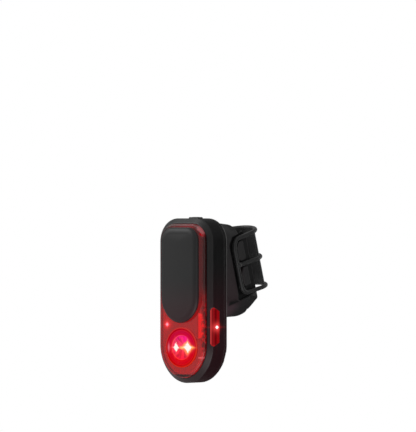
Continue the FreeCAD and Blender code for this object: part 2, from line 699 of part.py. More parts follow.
def front_lens():
    """Red lens with a rounded rim, a flange behind the bezel, and holes for cover and optic."""
    body = body_of("lens_tray")
    tray = pad(
        body, "lens_block", "0", "lens_skirt_depth + lens_flange", ("housing", "- lens_inset")
    )
    rim = body.newObject("PartDesign::Fillet", "lens_rim")
    rim.Base = (tray, edges_in_plane(tray, "0"))
    bind(rim, Radius="lens_rim_radius")
    pad(
        body,
        "lens_flange_ring",
        "lens_skirt_depth + fit_gap",
        "lens_skirt_depth + lens_flange",
        ("housing", "- shell_wall - run_gap"),
    )
    pocket(
        body,
        "lens_hollow",
        "lens_wall",
        "lens_skirt_depth + lens_flange",
        ("housing", "- lens_inset - lens_wall"),
    )
    pocket(body, "cover_hole", "0", "lens_wall", ("cover", "- cover_overlap + fit_gap"))
    optic_hole = rod(
        "optic_hole",
        ("0", "light_front - lens_wall", OPTIC_Z),
        "Y",
        "optic_radius + fit_gap",
        "3 * lens_wall",
    )
    piece(cut("front_lens", body, optic_hole), "front_lens")


def radar_cover():
    """Black pillow-shaped cover with a neck that passes through the lens."""
    body = body_of("radar_cover")
    top = pad(body, "cover_block", "0 - cover_height", "0 - fit_gap", ("cover", ""))
    rim = body.newObject("PartDesign::Fillet", "cover_rim")
    rim.Base = (top, edges_in_plane(top, "0 - cover_height"))
    bind(rim, Radius="cover_rim_radius")
    pad(body, "cover_neck", "0 - fit_gap", "cover_neck_depth", ("cover", "- cover_overlap"))
    pocket(
        body,
        "cover_hollow",
        "cover_wall - cover_height",
        "cover_neck_depth",
        ("cover", "- cover_overlap - cover_wall"),
    )
    piece(body, "radar_cover")


def main_optic():
    """Round optic: a front ring, a sunk middle and a cup with a hollow for the lamp."""
    sketch = free_sketch("optic_profile", LEVEL)
    face = "light_front"
    polygon(
        sketch,
        [
            ("0", f"{face} + optic_step_depth"),
            ("optic_step_radius", f"{face} + optic_step_depth"),
            ("optic_step_radius + optic_step_depth", face),
            ("optic_radius", face),
            ("optic_radius", f"{face} + optic_rim"),
            ("optic_cup_radius", f"{face} + optic_rim"),
            ("optic_back_radius", f"{face} + optic_depth"),
            ("optic_pocket_radius", f"{face} + optic_depth"),
            ("optic_pocket_radius", f"{face} + optic_depth - optic_pocket_depth"),
            ("0", f"{face} + optic_depth - optic_pocket_depth"),
        ],
    )
    item = doc.addObject("Part::Revolution", "main_optic")
    item.Source = sketch
    item.Axis = FreeCAD.Vector(0, 1, 0)
    item.Angle = 360
    item.Solid = True
    place(item, z=OPTIC_Z)
    piece(item, "main_optic")


def reflector_plate():
    """Bright plate behind the lens, with holes for the cover's neck and the optic."""
    body = body_of("reflector_blank")
    pad(
        body,
        "reflector_block",
        "plate_depth",
        "plate_depth + plate_thickness",
        ("housing", "- plate_inset"),
        ("cover", "- cover_overlap + fit_gap"),
    )
    hole = rod(
        "reflector_hole",
        ("0", "light_front", OPTIC_Z),
        "Y",
        "optic_cup_radius + run_gap",
        "light_depth",
    )
    piece(cut("reflector_plate", body, hole), "reflector_plate")


def inner_frame():
    """Frame that holds the lens's flange, the boards and the optic's cup."""
    body = body_of("frame_plate")
    pad(
        body,
        "frame_block",
        "frame_depth",
        "frame_depth + frame_thickness",
        ("housing", "- shell_wall - run_gap"),
    )
    pad(
        body,
        "frame_rib_ring",
        "frame_depth - frame_rib",
        "frame_depth",
        ("cover", "- cover_overlap - rib_inset"),
        ("cover", "- cover_overlap - rib_inset - rib_width"),
    )
    shield_hole = box(
        "shield_hole",
        (
            "0 - shield_half_width - frame_gap",
            "light_front",
            "shield_top - shield_length - frame_gap",
        ),
        (
            "2 * shield_half_width + 2 * frame_gap",
            "light_depth",
            "shield_length + 2 * frame_gap",
        ),
    )
    link_hole = box(
        "link_hole",
        (
            "0 - link_width / 2 - frame_gap",
            "light_front",
            "0 - link_place - link_height - frame_gap",
        ),
        ("link_width + 2 * frame_gap", "light_depth", "link_height + 2 * frame_gap"),
    )
    cup_hole = rod(
        "cup_hole",
        ("0", "light_front", OPTIC_Z),
        "Y",
        "cup_hole_radius",
        "light_depth",
    )
    holes = [
        rod(
            f"lamp_screw_hole_{index}",
            (x, "light_front", BOARD_SCREW_Z),
            "Y",
            "board_screw_radius + thread_gap",
            "light_depth",
        )
        for index, x in enumerate(("0 - board_screw_place", "board_screw_place"))
    ]
    piece(cut("inner_frame", body, shield_hole, link_hole, cup_hole, *holes), "inner_frame")


def radar_boards():
    """Radar board with its chip in front, its shield and its connector behind."""
    body = body_of("radar_board")
    back = "radar_board_depth + board_thickness"
    pad(
        body,
        "radar_board_block",
        "radar_board_depth",
        back,
        ("cover", "- cover_overlap - radar_board_inset"),
    )
    piece(body, "radar_board")
    chip = box(
        "radar_chip",
        (
            "0 - radar_chip_size / 2",
            "light_front + radar_board_depth - radar_chip_thickness",
            "0 - radar_chip_size",
        ),
        ("radar_chip_size", "radar_chip_thickness", "radar_chip_size"),
    )
    piece(chip, "radar_chip")
    shield = box(
        "radar_shield",
        ("0 - shield_half_width", f"light_front + {back}", "shield_top - shield_length"),
        ("2 * shield_half_width", "shield_thickness", "shield_length"),
    )
    piece(shield, "radar_shield")
    link = box(
        "board_connector",
        ("0 - link_width / 2", f"light_front + {back}", "0 - link_place - link_height"),
        ("link_width", f"main_board_depth - ({back})", "link_height"),
    )
    piece(link, "board_connector")


def main_boards():
    """Main board and lamp board with the parts soldered to them, and the cable between them."""
    main = box(
        "main_board",
        (
            "0 - main_board_half_width",
            "light_front + main_board_depth",
            "0 - main_board_bottom",
        ),
        (
            "2 * main_board_half_width",
            "board_thickness",
            "main_board_top + main_board_bottom",
        ),
    )
    piece(main, "main_board")
    back = "light_front + main_board_depth + board_thickness"
    chips = [
        box(
            "main_chip",
            ("0 - chip_size / 2", back, "0 - chip_size / 2"),
            ("chip_size", "chip_thickness", "chip_size"),
        ),
        box(
            "charge_chip",
            ("0 - charge_chip_size / 2", back, "0 - charge_chip_place - charge_chip_size"),
            ("charge_chip_size", "chip_thickness", "charge_chip_size"),
        ),
    ]
    piece(group("board_chips", chips), "board_chips")
    lamp_board = box(
        "lamp_board_blank",
        (
            "0 - lamp_board_half_width",
            "light_front + lamp_board_depth",
            "0 - lamp_board_bottom",
        ),
        (
            "2 * lamp_board_half_width",
            "board_thickness",
            "lamp_board_bottom - lamp_board_top",
        ),
    )
    screw_depth = "light_front + frame_depth + frame_thickness - board_screw_grip"
    screws = []
    holes = []
    for index, x in enumerate(("0 - board_screw_place", "board_screw_place"), start=1):
        spot = (x, screw_depth, BOARD_SCREW_Z)
        shank = f"light_front + lamp_board_depth + board_thickness - ({screw_depth})"
        head_spot = (
            x,
            "light_front + lamp_board_depth + board_thickness",
            BOARD_SCREW_Z,
        )
        screws.append(
            fuse(
                f"lamp_screw_{index}",
                rod(f"lamp_screw_shank_{index}", spot, "Y", "board_screw_radius", shank),
                rod(
                    f"lamp_screw_head_{index}",
                    head_spot,
                    "Y",
                    "board_head_radius",
                    "board_head_height",
                ),
            )
        )
        holes.append(
            rod(
                f"lamp_board_hole_{index}",
                spot,
                "Y",
                "board_screw_radius + screw_clearance",
                "light_depth",
            )
        )
    piece(cut("lamp_board", lamp_board, *holes), "lamp_board")
    piece(group("lamp_board_screws", screws), "lamp_board_screws")
    lamp = box(
        "main_lamp",
        (
            "0 - lamp_size / 2",
            "light_front + lamp_board_depth - lamp_thickness",
            f"{OPTIC_Z} - lamp_size / 2",
        ),
        ("lamp_size", "lamp_thickness", "lamp_size"),
    )
    piece(lamp, "main_lamp")
    cable = box(
        "flat_cable",
        (
            "0 - cable_width / 2",
            "light_front + lamp_board_depth + board_thickness + foam_gap",
            "0 - lamp_board_top - cable_overlap",
        ),
        (
            "cable_width",
            "cable_thickness",
            "lamp_board_top - main_board_bottom + 2 * cable_overlap",
        ),
    )
    piece(cable, "flat_cable")


def side_lamps():
    """Lamp and board behind each side window."""
    inner = "housing_half_width - shell_wall - side_board_gap"
    board = box(
        "side_board_shape",
        (
            f"{inner} - side_board_thickness",
            "light_front + side_board_depth",
            "0 - side_board_top - side_board_length",
        ),
        ("side_board_thickness", "side_board_width", "side_board_length"),
    )
    lamp = box(
        "side_lamp_shape",
        (
            inner,
            "light_front + side_lamp_depth - side_lamp_width / 2",
            "0 - side_lamp_height - side_lamp_length / 2",
        ),
        ("side_lamp_thickness", "side_lamp_width", "side_lamp_length"),
    )
    piece(board, "side_board_right")
    piece(mirrored("side_board_twin", board), "side_board_left")
    piece(lamp, "side_lamp_right")
    piece(mirrored("side_lamp_twin", lamp), "side_lamp_left")


def rear_cover():
    """Back shell with a skirt inside the housing, screw posts, the port's recess and a notch."""
    body = body_of("rear_shell")
    block = pad(body, "rear_block", "seam_depth", "light_depth", ("housing", ""))
    edge = body.newObject("PartDesign::Fillet", "back_edge")
    edge.Base = (block, edges_in_plane(block, "light_depth"))
    bind(edge, Radius="back_edge_radius")
    pocket(
        body, "rear_hollow", "seam_depth", "light_depth - shell_wall", ("housing", "- shell_wall")
    )
    pad(
        body,
        "rear_skirt",
        "skirt_depth",
        "light_depth - shell_wall",
        ("housing", "- shell_wall - fit_gap"),
        ("housing", "- shell_wall - fit_gap - skirt_wall"),
    )
    pocket(
        body,
        "seal_groove",
        "seam_depth",
        "seam_depth + seal_thickness + close_gap",
        ("housing", "- seal_inset"),
        ("housing", "- seal_inset - seal_section"),
    )
    posts = screw_rods(
        "rear_post", "boss_end + fit_gap", "light_depth - shell_wall / 2", "boss_radius"
    )
    trimmed = common("rear_posts", fuse("rear_post_rods", *posts), skirt_envelope())
    holes = screw_rods("rear_hole", "boss_end", "light_depth", "screw_radius + screw_clearance")
    sinks = screw_rods(
        "rear_sink",
        "light_depth - screw_head_height",
        "light_depth + overcut",
        "screw_head_radius + head_gap",
    )
    port_hole = box(
        "port_hole",
        (
            "0 - port_half_width - fit_gap",
            "light_front + light_depth - 2 * shell_wall",
            f"{PORT_Z} - port_half_height - fit_gap",
        ),
        (
            "2 * port_half_width + 2 * fit_gap",
            "4 * shell_wall",
            "2 * port_half_height + 2 * fit_gap",
        ),
    )
    recess = box(
        "flap_recess",
        (
            "0 - flap_left - run_gap",
            "light_front + light_depth - flap_thickness - run_gap / 3",
            f"{PORT_Z} - flap_half_height - run_gap",
        ),
        (
            "flap_left + flap_right + 2 * run_gap",
            "2 * flap_thickness",
            "2 * flap_half_height + 2 * run_gap",
        ),
    )
    button_relief = box(
        "button_relief",
        (
            "0 - collar_length / 2 - run_gap",
            "light_front + button_depth - button_width",
            "housing_top - 4 * shell_wall",
        ),
        ("collar_length + 2 * run_gap", "seam_depth - button_depth + button_width", "3 * shell_wall"),
    )
    notch = box(
        "nail_notch",
        (
            "notch_floor",
            "light_front + light_depth - notch_depth",
            f"{PORT_Z} - notch_half_height",
        ),
        ("housing_half_width - notch_floor", "2 * notch_depth", "2 * notch_half_height"),
    )
    screw_holes = [
        rod(
            f"twist_screw_hole_{index}",
            (x, "light_front + light_depth - 2 * shell_wall", "0 - twist_height"),
            "Y",
            "socket_screw_radius + thread_gap",
            "4 * shell_wall",
        )
        for index, x in enumerate(("0 - twist_screw_place", "twist_screw_place"))
    ]
    whole = fuse("rear_shell_with_posts", body, trimmed)
    tools = (*holes, *sinks, port_hole, recess, button_relief, notch, *screw_holes)
    piece(cut("rear_cover", whole, *tools), "rear_cover")


def skirt_envelope():
    """The skirt's outer outline, which trims the rear cover's screw posts."""
    sketch = free_sketch("skirt_limit_outline", UPRIGHT, y="light_front + boss_end")
    outline(sketch, "housing", "- shell_wall - fit_gap")
    return prism("skirt_limit", sketch, "light_depth", reverse=True)


def housing_seal():
    """Rubber ring in the groove of the rear cover's rim."""
    body = body_of("housing_seal")
    pad(
        body,
        "seal_ring",
        "seam_depth",
        "seam_depth + seal_thickness",
        ("housing", "- seal_inset - close_gap"),
        ("housing", "- seal_inset - seal_section + close_gap"),
    )
    piece(body, "housing_seal")


def housing_screws():
    """Four screws from the rear cover into the housing's bosses."""
    shanks = screw_rods("screw_shank", "screw_end", "light_depth - screw_head_height", "screw_radius")
    heads = screw_rods(
        "screw_head", "light_depth - screw_head_height", "light_depth - fit_gap", "screw_head_radius"
    )
    screws = [
        fuse(f"housing_screw_{index}", shank, head)
        for index, (shank, head) in enumerate(zip(shanks, heads), start=1)
    ]
    piece(group("housing_screws", screws), "housing_screws")


def battery():
    """Flat battery cell, the foam behind it, its leads and its plug."""
    block = box(
        "battery_block",
        ("0 - battery_half_width", "light_front + battery_depth", "battery_top - battery_length"),
        ("2 * battery_half_width", "battery_thickness", "battery_length"),
    )
    doc.recompute()
    cell = doc.addObject("Part::Fillet", "battery_cell")
    cell.Base = block
    radius = number("battery_edge")
    long_edges = [
        (index, radius, radius)
        for index, edge in enumerate(block.Shape.Edges, start=1)
        if edge.BoundBox.ZLength > number("battery_length") - 1e-6
    ]
    cell.Edges = long_edges
    piece(cell, "battery_cell")
    foam = box(
        "battery_foam",
        (
            "foam_margin - battery_half_width",
            "light_front + battery_depth + battery_thickness + foam_gap",
            "battery_top - battery_length + foam_margin",
        ),
        (
            "2 * battery_half_width - 2 * foam_margin",
            "light_depth - shell_wall - battery_depth - battery_thickness - 2 * foam_gap",
            "battery_length - 2 * foam_margin",
        ),
    )
    piece(foam, "battery_foam")
    leads = [
        rod(
            f"battery_lead_{index}",
            (x, "light_front + lead_depth", "battery_top"),
            "Z",
            "lead_radius",
            "plug_gap",
        )
        for index, x in enumerate(
            ("0 - plug_place - lead_spacing / 2", "lead_spacing / 2 - plug_place"), start=1
        )
    ]
    piece(group("battery_leads", leads), "battery_leads")
    plug = box(
        "battery_plug",
        (
            "0 - plug_place - plug_width / 2",
            "light_front + main_board_depth + board_thickness",
            "battery_top + plug_gap",
        ),
        ("plug_width", "plug_thickness", "plug_height"),
    )
    piece(plug, "battery_plug")


def power_switch():
    """Power button, and the switch with its plunger and board below it."""
    middle = "light_front + button_depth"
    stem_bottom = "switch_board_top + switch_height + plunger_rise + touch_gap"
    stem = box(
        "button_stem",
        ("0 - button_length / 2", f"{middle} - button_width / 2", stem_bottom),
        (
            "button_length",
            "button_width",
            f"housing_top + button_rise - ({stem_bottom})",
        ),
    )
    flange = box(
        "button_flange_plate",
        (
            "0 - button_length / 2 - button_flange",
            f"{middle} - button_width / 2",
            "housing_top - shell_wall - run_gap - button_flange_height",
        ),
        (
            "button_length + 2 * button_flange",
            "button_width",
            "button_flange_height",
        ),
    )
    piece(fuse("power_button", stem, flange), "power_button")
    board = box(
        "switch_board",
        (
            "0 - switch_board_left",
            "light_front + main_board_depth + board_thickness",
            "switch_board_top - board_thickness",
        ),
        (
            "switch_board_left + switch_board_right",
            "button_depth + switch_width / 2 - main_board_depth - board_thickness",
            "board_thickness",
        ),
    )
    piece(board, "switch_board")
    body = box(
        "switch_block",
        ("0 - switch_length / 2", f"{middle} - switch_width / 2", "switch_board_top"),
        ("switch_length", "switch_width", "switch_height"),
    )
    hole_bottom = "switch_board_top + switch_height - plunger_depth"
    hole = rod(
        "plunger_hole",
        ("0", middle, hole_bottom),
        "Z",
        "plunger_radius + plunger_hole_gap",
        "2 * plunger_depth",
    )
    piece(cut("switch_body", body, hole), "switch_body")
    plunger = rod(
        "switch_plunger",
        ("0", middle, f"{hole_bottom} + button_travel + run_gap"),
        "Z",
        "plunger_radius",
        "plunger_depth - button_travel - run_gap + plunger_rise",
    )
    piece(plunger, "switch_plunger")


def charging_port():
    """Charging socket on the lamp board, and the rubber flap over it."""
    front = "lamp_board_depth + board_thickness"
    shell = box(
        "port_shell",
        (
            "0 - port_half_width",
            f"light_front + {front}",
            f"{PORT_Z} - port_half_height",
        ),
        (
            "2 * port_half_width",
            "light_depth - port_back - shell_wall - lamp_board_depth - board_thickness",
            "2 * port_half_height",
        ),
    )
    hollow = box(
        "port_hollow",
        (
            "port_wall - port_half_width",
            "light_front + light_depth - port_back - shell_wall - port_hollow",
            f"{PORT_Z} - port_half_height + port_wall",
        ),
        (
            "2 * port_half_width - 2 * port_wall",
            "2 * port_hollow",
            "2 * port_half_height - 2 * port_wall",
        ),
    )
    piece(cut("charging_socket", shell, hollow), "charging_socket")
    plate = box(
        "flap_plate",
        (
            "0 - flap_left",
            "light_front + light_depth - flap_thickness",
            f"{PORT_Z} - flap_half_height",
        ),
        ("flap_left + flap_right", "flap_thickness", "2 * flap_half_height"),
    )
    tongue = box(
        "flap_tongue",
        (
            "0 - plug_tongue_half_width",
            "light_front + light_depth - flap_thickness - plug_tongue_length",
            f"{PORT_Z} - plug_tongue_half_height",
        ),
        (
            "2 * plug_tongue_half_width",
            "plug_tongue_length + flap_thickness / 2",
            "2 * plug_tongue_half_height",
        ),
    )
    piece(fuse("port_cover", plate, tongue), "port_cover")


def twist_boss():
    """Boss on the light's back whose two lugs lock in the mount, and its screws."""
    back = "light_front + light_depth"
    neck_length = "mount_gap + socket_lip + lug_gap"
    neck = rod("twist_neck", ("0", back, "0 - twist_height"), "Y", "neck_radius", neck_length)
    core = rod(
        "twist_core",
        ("0", f"{back} + {neck_length}", "0 - twist_height"),
        "Y",
        "neck_radius",
        "lug_thickness",
    )
    disc = rod(
        "lug_disc",
        ("0", f"{back} + {neck_length}", "0 - twist_height"),
        "Y",
        "lug_radius",
        "lug_thickness",
    )
    strip = box(
        "lug_strip",
        ("0 - lug_radius", back, "0 - twist_height - lug_half_width"),
        ("2 * lug_radius", "light_depth", "2 * lug_half_width"),
    )
    lugs = common("lugs", disc, strip)
    whole = fuse("twist_blank", neck, core, lugs)
    head_start = f"{back} + {neck_length} + lug_thickness - socket_head_height - head_gap"
    screws = []
    tools = []
    for index, x in enumerate(("0 - twist_screw_place", "twist_screw_place"), start=1):
        head = rod(
            f"twist_head_{index}",
            (x, head_start, "0 - twist_height"),
            "Y",
            "socket_head_radius",
            "socket_head_height",
        )
        shank = rod(
            f"twist_shank_{index}",
            (x, f"{back} - shell_wall + twist_screw_end", "0 - twist_height"),
            "Y",
            "socket_screw_radius",
            f"shell_wall - twist_screw_end + {neck_length} + lug_thickness - socket_head_height",
        )
        screws.append(fuse(f"twist_screw_{index}", head, shank))
        tools.append(
            rod(
                f"twist_sink_{index}",
                (x, head_start, "0 - twist_height"),
                "Y",
                "socket_head_radius + head_gap",
                "2 * lug_thickness",
            )
        )
        tools.append(
            rod(
                f"twist_hole_{index}",
                (x, f"{back} - overcut", "0 - twist_height"),
                "Y",
                "socket_screw_radius + screw_clearance",
                "light_depth",
            )
        )
    piece(cut("twist_boss", whole, *tools), "twist_boss")
    piece(group("twist_boss_screws", screws), "twist_boss_screws")


def twist_socket():
    """Round insert in the mount that the light's lugs turn in, with springs and screws."""
    front = "light_front + light_depth + mount_gap"
    cavity_length = "lug_thickness + 2 * lug_gap"
    z = "0 - twist_height"
    blank = rod(
        "socket_blank",
        ("0", front, z),
        "Y",
        "socket_radius",
        f"socket_lip + {cavity_length} + socket_floor",
    )
    bore = rod(
        "socket_bore",
        ("0", f"{front} - overcut", z),
        "Y",
        "neck_radius + neck_gap",
        "socket_lip + 2 * overcut",
    )
    cavity = rod(
        "socket_cavity",
        ("0", f"{front} + socket_lip", z),
        "Y",
        "lug_radius + run_gap",
        cavity_length,
    )
    entry_disc = rod(
        "entry_disc",
        ("0", f"{front} - overcut", z),
        "Y",
        "lug_radius + run_gap",
        "socket_lip + 2 * overcut",
    )
    entry_strip = box(
        "entry_strip",
        (
            "0 - lug_half_width - 2 * run_gap",
            f"{front} - overcut",
            f"{z} - lug_radius - run_gap",
        ),
        (
            "2 * lug_half_width + 4 * run_gap",
            "socket_lip + 2 * overcut",
            "2 * lug_radius + 2 * run_gap",
        ),
    )
    entry = common("entry_slots", entry_disc, entry_strip)
    spring_inner = "lug_radius + detent_gap"
    spring_pocket = box(
        "spring_pocket",
        (
            "0 - lug_radius - detent_gap - detent_thickness - detent_pocket",
            f"{front} + socket_lip",
            f"{z} - detent_half_length - detent_pocket",
        ),
        (
            "2 * lug_radius + 2 * detent_gap + 2 * detent_thickness + 2 * detent_pocket",
            cavity_length,
            "2 * detent_half_length + 2 * detent_pocket",
        ),
    )
    springs = []
    for index, x in enumerate((f"0 - ({spring_inner}) - detent_thickness", spring_inner)):
        springs.append(
            box(
                f"detent_spring_{index}",
                (x, f"{front} + socket_lip + lug_gap / 2", f"{z} - detent_half_length"),
                ("detent_thickness", "lug_thickness + lug_gap", "2 * detent_half_length"),
            )
        )
    head_start = f"{front} + socket_lip + {cavity_length}"
    screws = []
    tools = []
    for index, (x, height) in enumerate(
        (
            ("0 - socket_screw_circle", z),
            ("socket_screw_circle", z),
            ("0", f"{z} + socket_screw_circle"),
            ("0", f"{z} - socket_screw_circle"),
        ),
        start=1,
    ):
        head = rod(
            f"socket_head_{index}",
            (x, f"{head_start} + head_gap", height),
            "Y",
            "socket_head_radius",
            "socket_head_height",
        )
        shank = rod(
            f"socket_shank_{index}",
            (x, f"{head_start} + socket_head_height", height),
            "Y",
            "socket_screw_radius",
            "socket_screw_length",
        )
        screws.append(fuse(f"socket_screw_{index}", head, shank))
        tools.append(
            rod(
                f"socket_sink_{index}",
                (x, f"{head_start} - head_gap", height),
                "Y",
                "socket_head_radius + head_gap",
                "socket_head_height + 2 * head_gap",
            )
        )
        tools.append(
            rod(
                f"socket_hole_{index}",
                (x, head_start, height),
                "Y",
                "socket_screw_radius + screw_clearance",
                "light_depth",
            )
        )
    piece(cut("twist_socket", blank, bore, cavity, entry, spring_pocket, *tools), "twist_socket")
    piece(group("socket_screws", screws), "socket_screws")
    piece(group("detent_springs", springs), "detent_springs")


def slot_tool(name, floor):
    """Recess for the strap in the mount's right side, drawn along the post."""
    sketch = free_sketch(name + "_outline", SIDEWAYS, x=floor)
    polygon(
        sketch,
        [
            ("0 - slot_front", "slot_lower_bevel - slot_bottom"),
            ("0 - slot_front", "slot_top - slot_bevel"),
            ("slot_bevel - slot_front", "slot_top"),
            ("post_radius / 2", "slot_top"),
            ("post_radius / 2", "0 - slot_bottom"),
            ("slot_lower_bevel - slot_front", "0 - slot_bottom"),
        ],
    )
    return prism(name, sketch, "rear_half_width")


def hook_tab(name, middle):
    """Tab on the mount's right side that a strap window hooks over, drawn along the post."""
    sketch = free_sketch(name + "_outline", SIDEWAYS, x="slot_floor")
    polygon(
        sketch,
        [
            ("tab_lower_bevel - tab_front", f"{middle} - tab_height / 2"),
            ("0 - tab_front", f"{middle} - tab_height / 2 + tab_lower_bevel"),
            ("0 - tab_front", f"{middle} + tab_height / 2 - tab_bevel"),
            ("tab_bevel - tab_front", f"{middle} + tab_height / 2"),
            ("0 - tab_back", f"{middle} + tab_height / 2"),
            ("0 - tab_back", f"{middle} - tab_height / 2"),
        ],
    )
    return prism(name, sketch, "tab_half_width - slot_floor")


def mount_body():
    """Black wedge between the light's back and the post, with strap slots and hook tabs."""
    front = free_sketch("mount_front_outline", UPRIGHT, y="light_front + light_depth + mount_gap")
    outline(front, "front")
    rear = doc.addObject("Sketcher::SketchObject", "mount_rear_outline")
    rear.Placement = FreeCAD.Placement(FreeCAD.Vector(), FreeCAD.Rotation(ABOUT_X, 100))
    rear.setExpression("Placement.Rotation.Angle", "90 + sizes.post_tilt")
    rear.setExpression("Placement.Base.y", "-sizes.pad_seam * cos(sizes.post_tilt * 1deg)")
    rear.setExpression("Placement.Base.z", "-sizes.pad_seam * sin(sizes.post_tilt * 1deg)")
    outline(rear, "rear")
    wedge = doc.addObject("Part::Loft", "mount_wedge")
    wedge.Sections = [front, rear]
    wedge.Solid = True
    wedge.Ruled = True
    seat = rod(
        "pad_seat",
        ("0", "0", "0 - 2 * rear_top"),
        "Z",
        "post_radius + pad_thickness",
        "4 * rear_top",
    )
    right_slot = slot_tool("strap_slot", "slot_floor")
    slots = fuse("seat_and_slots", seat, right_slot, mirrored("strap_slot_twin", right_slot))
    recess = rod(
        "socket_recess",
        ("0", "light_front + light_depth + mount_gap - overcut", "0 - twist_height"),
        "Y",
        "socket_radius + close_gap",
        "overcut + socket_lip + lug_thickness + 2 * lug_gap + socket_floor + close_gap",
    )
    pilots = [
        rod(
            f"socket_pilot_{index}",
            (x, "light_front + light_depth", height),
            "Y",
            "socket_screw_radius + thread_gap",
            "mount_gap + socket_lip + lug_thickness + 2 * lug_gap + socket_floor"
            " + socket_screw_length",
        )
        for index, (x, height) in enumerate(
            (
                ("0 - socket_screw_circle", "0 - twist_height"),
                ("socket_screw_circle", "0 - twist_height"),
                ("0", "socket_screw_circle - twist_height"),
                ("0", "0 - twist_height - socket_screw_circle"),
            ),
            start=1,
        )
    ]
    hollowed = cut("mount_wedge_cut", wedge, lean(slots), recess, *pilots)
    tabs = [
        hook_tab("upper_tab", "bar_rise + bar_pitch / 2"),
        hook_tab("lower_tab", "bar_rise - bar_pitch / 2"),
    ]
    tabs += [mirrored(tab.Name + "_twin", tab) for tab in list(tabs)]
    piece(fuse("mount_body", hollowed, lean(fuse("hook_tabs", *tabs))), "mount_body")


def post_pad():
    """Rubber pad between the mount and the post, with an ear along each side of the post."""
    sketch = free_sketch("pad_outline", UPRIGHT, y="0 - post_radius - pad_thickness")
    outline(sketch, "rear", "- pad_inset")
    blank = prism(
        "pad_blank", sketch, "post_radius + pad_thickness - pad_ear", reverse=True
    )
    behind = box(
        "pad_behind_seam",
        ("0 - rear_half_width", "close_gap - pad_seam", "0 - rear_top"),
        ("2 * rear_half_width", "pad_seam", "2 * rear_top"),
    )
    seat = rod(
        "pad_inner",
        ("0", "0", "0 - rear_top"),
        "Z",
        "post_radius + pad_thickness - close_gap",
        "2 * rear_top",
    )
    post = rod("pad_post", ("0", "0", "0 - 2 * rear_top"), "Z", "post_radius", "4 * rear_top")
    flank_sketch = free_sketch("pad_flank_outline", LEVEL, z="0 - 2 * rear_top")
    polygon(
        flank_sketch,
        [
            ("rear_half_width - pad_inset", "0 - pad_seam"),
            ("pad_ear_half_width", "0 - pad_ear"),
            ("pad_ear_half_width", "pad_ear"),
            ("2 * rear_half_width", "pad_ear"),
            ("2 * rear_half_width", "0 - pad_seam"),
        ],
    )
    flank = prism("pad_flank", flank_sketch, "4 * rear_top")
    slope_sketch = free_sketch("pad_slope_outline", SIDEWAYS, x="0 - rear_half_width")
    polygon(
        slope_sketch,
        [
            ("0 - pad_seam", "rear_top - pad_inset"),
            ("0 - pad_ear", "pad_top_end"),
            ("post_radius", "pad_top_end"),
            ("post_radius", "2 * rear_top"),
            ("0 - pad_seam", "2 * rear_top"),
        ],
    )
    slope = prism("pad_slope", slope_sketch, "2 * rear_half_width")
    slot = slot_tool("pad_slot", "pad_slot_floor")
    shaped = common("pad_shaped", blank, fuse("pad_limits", behind, seat))
    pad_item = cut(
        "post_pad",
        shaped,
        post,
        slope,
        flank,
        mirrored("pad_flank_twin", flank),
        slot,
        mirrored("pad_slot_twin", slot),
    )
    piece(lean(pad_item), "post_pad")


def corner_route(points, radius):
    """Edges through points, with an arc of the radius at every point but the two ends."""
    edges = []
    last = points[0]
    for before, corner, after in zip(points, points[1:], points[2:]):
        back = (before - corner).normalize()
        ahead = (after - corner).normalize()
        half = back.getAngle(ahead) / 2
        reach = radius / math.tan(half)
        bisector = (back + ahead).normalize()
        start = corner + back * reach
        middle = corner + bisector * (radius / math.sin(half) - radius)
        end = corner + ahead * reach
        edges.append(Part.LineSegment(last, start).toShape())
        edges.append(Part.Arc(start, middle, end).toShape())
        last = end
    edges.append(Part.LineSegment(last, points[-1]).toShape())
    return edges


def rung(level):
    """Loop edges of one rung and where it meets the end bars, level being -1, 0 or 1.

    The rung lies in a plane through the back of its loop, at its height behind the post, and the
    end bars, at its height there. Its loop is an arc, and both runs to the bars touch that arc.
    """
    radius = number("strap_loop_radius")
    lowest = int(level < 0)
    back_height = level * number("strap_pitch") - lowest * number("strap_drop")
    bar_height = number("bar_rise") + level * number("bar_pitch") - lowest * number("bar_drop")
    across = number("bar_half_width")
    reach = number("bar_front")
    slope = (back_height - bar_height) / (radius + reach)
    forward = FreeCAD.Vector(0, 1, slope).normalize()
    middle = FreeCAD.Vector(0, 0, back_height - slope * radius)
    length = reach * math.sqrt(1 + slope**2)
    far = math.hypot(across, length)
    touch = math.atan2(-length, across) + math.acos(radius / far)

    def on_loop(angle, side):
        return middle + FreeCAD.Vector(side * radius * math.cos(angle), 0, 0) + forward * (
            radius * math.sin(angle)
        )

    top = on_loop(math.pi / 2, 1)
    quarter = (touch + math.pi / 2) / 2
    ends = {side: middle + FreeCAD.Vector(side * across, 0, 0) - forward * length for side in (1, -1)}
    touches = {side: on_loop(touch, side) for side in (1, -1)}
    arcs = {side: Part.Arc(touches[side], on_loop(quarter, side), top).toShape() for side in (1, -1)}
    return arcs, touches, ends, forward


def tube(edges, start, direction):
    """Solid of the strap's round section along a path."""
    circle = Part.Circle(start, direction, number("strap_radius")).toShape()
    profile = Part.Wire([circle])
    return Part.Wire(Part.sortEdges(edges)[0]).makePipeShell([profile], True, False)


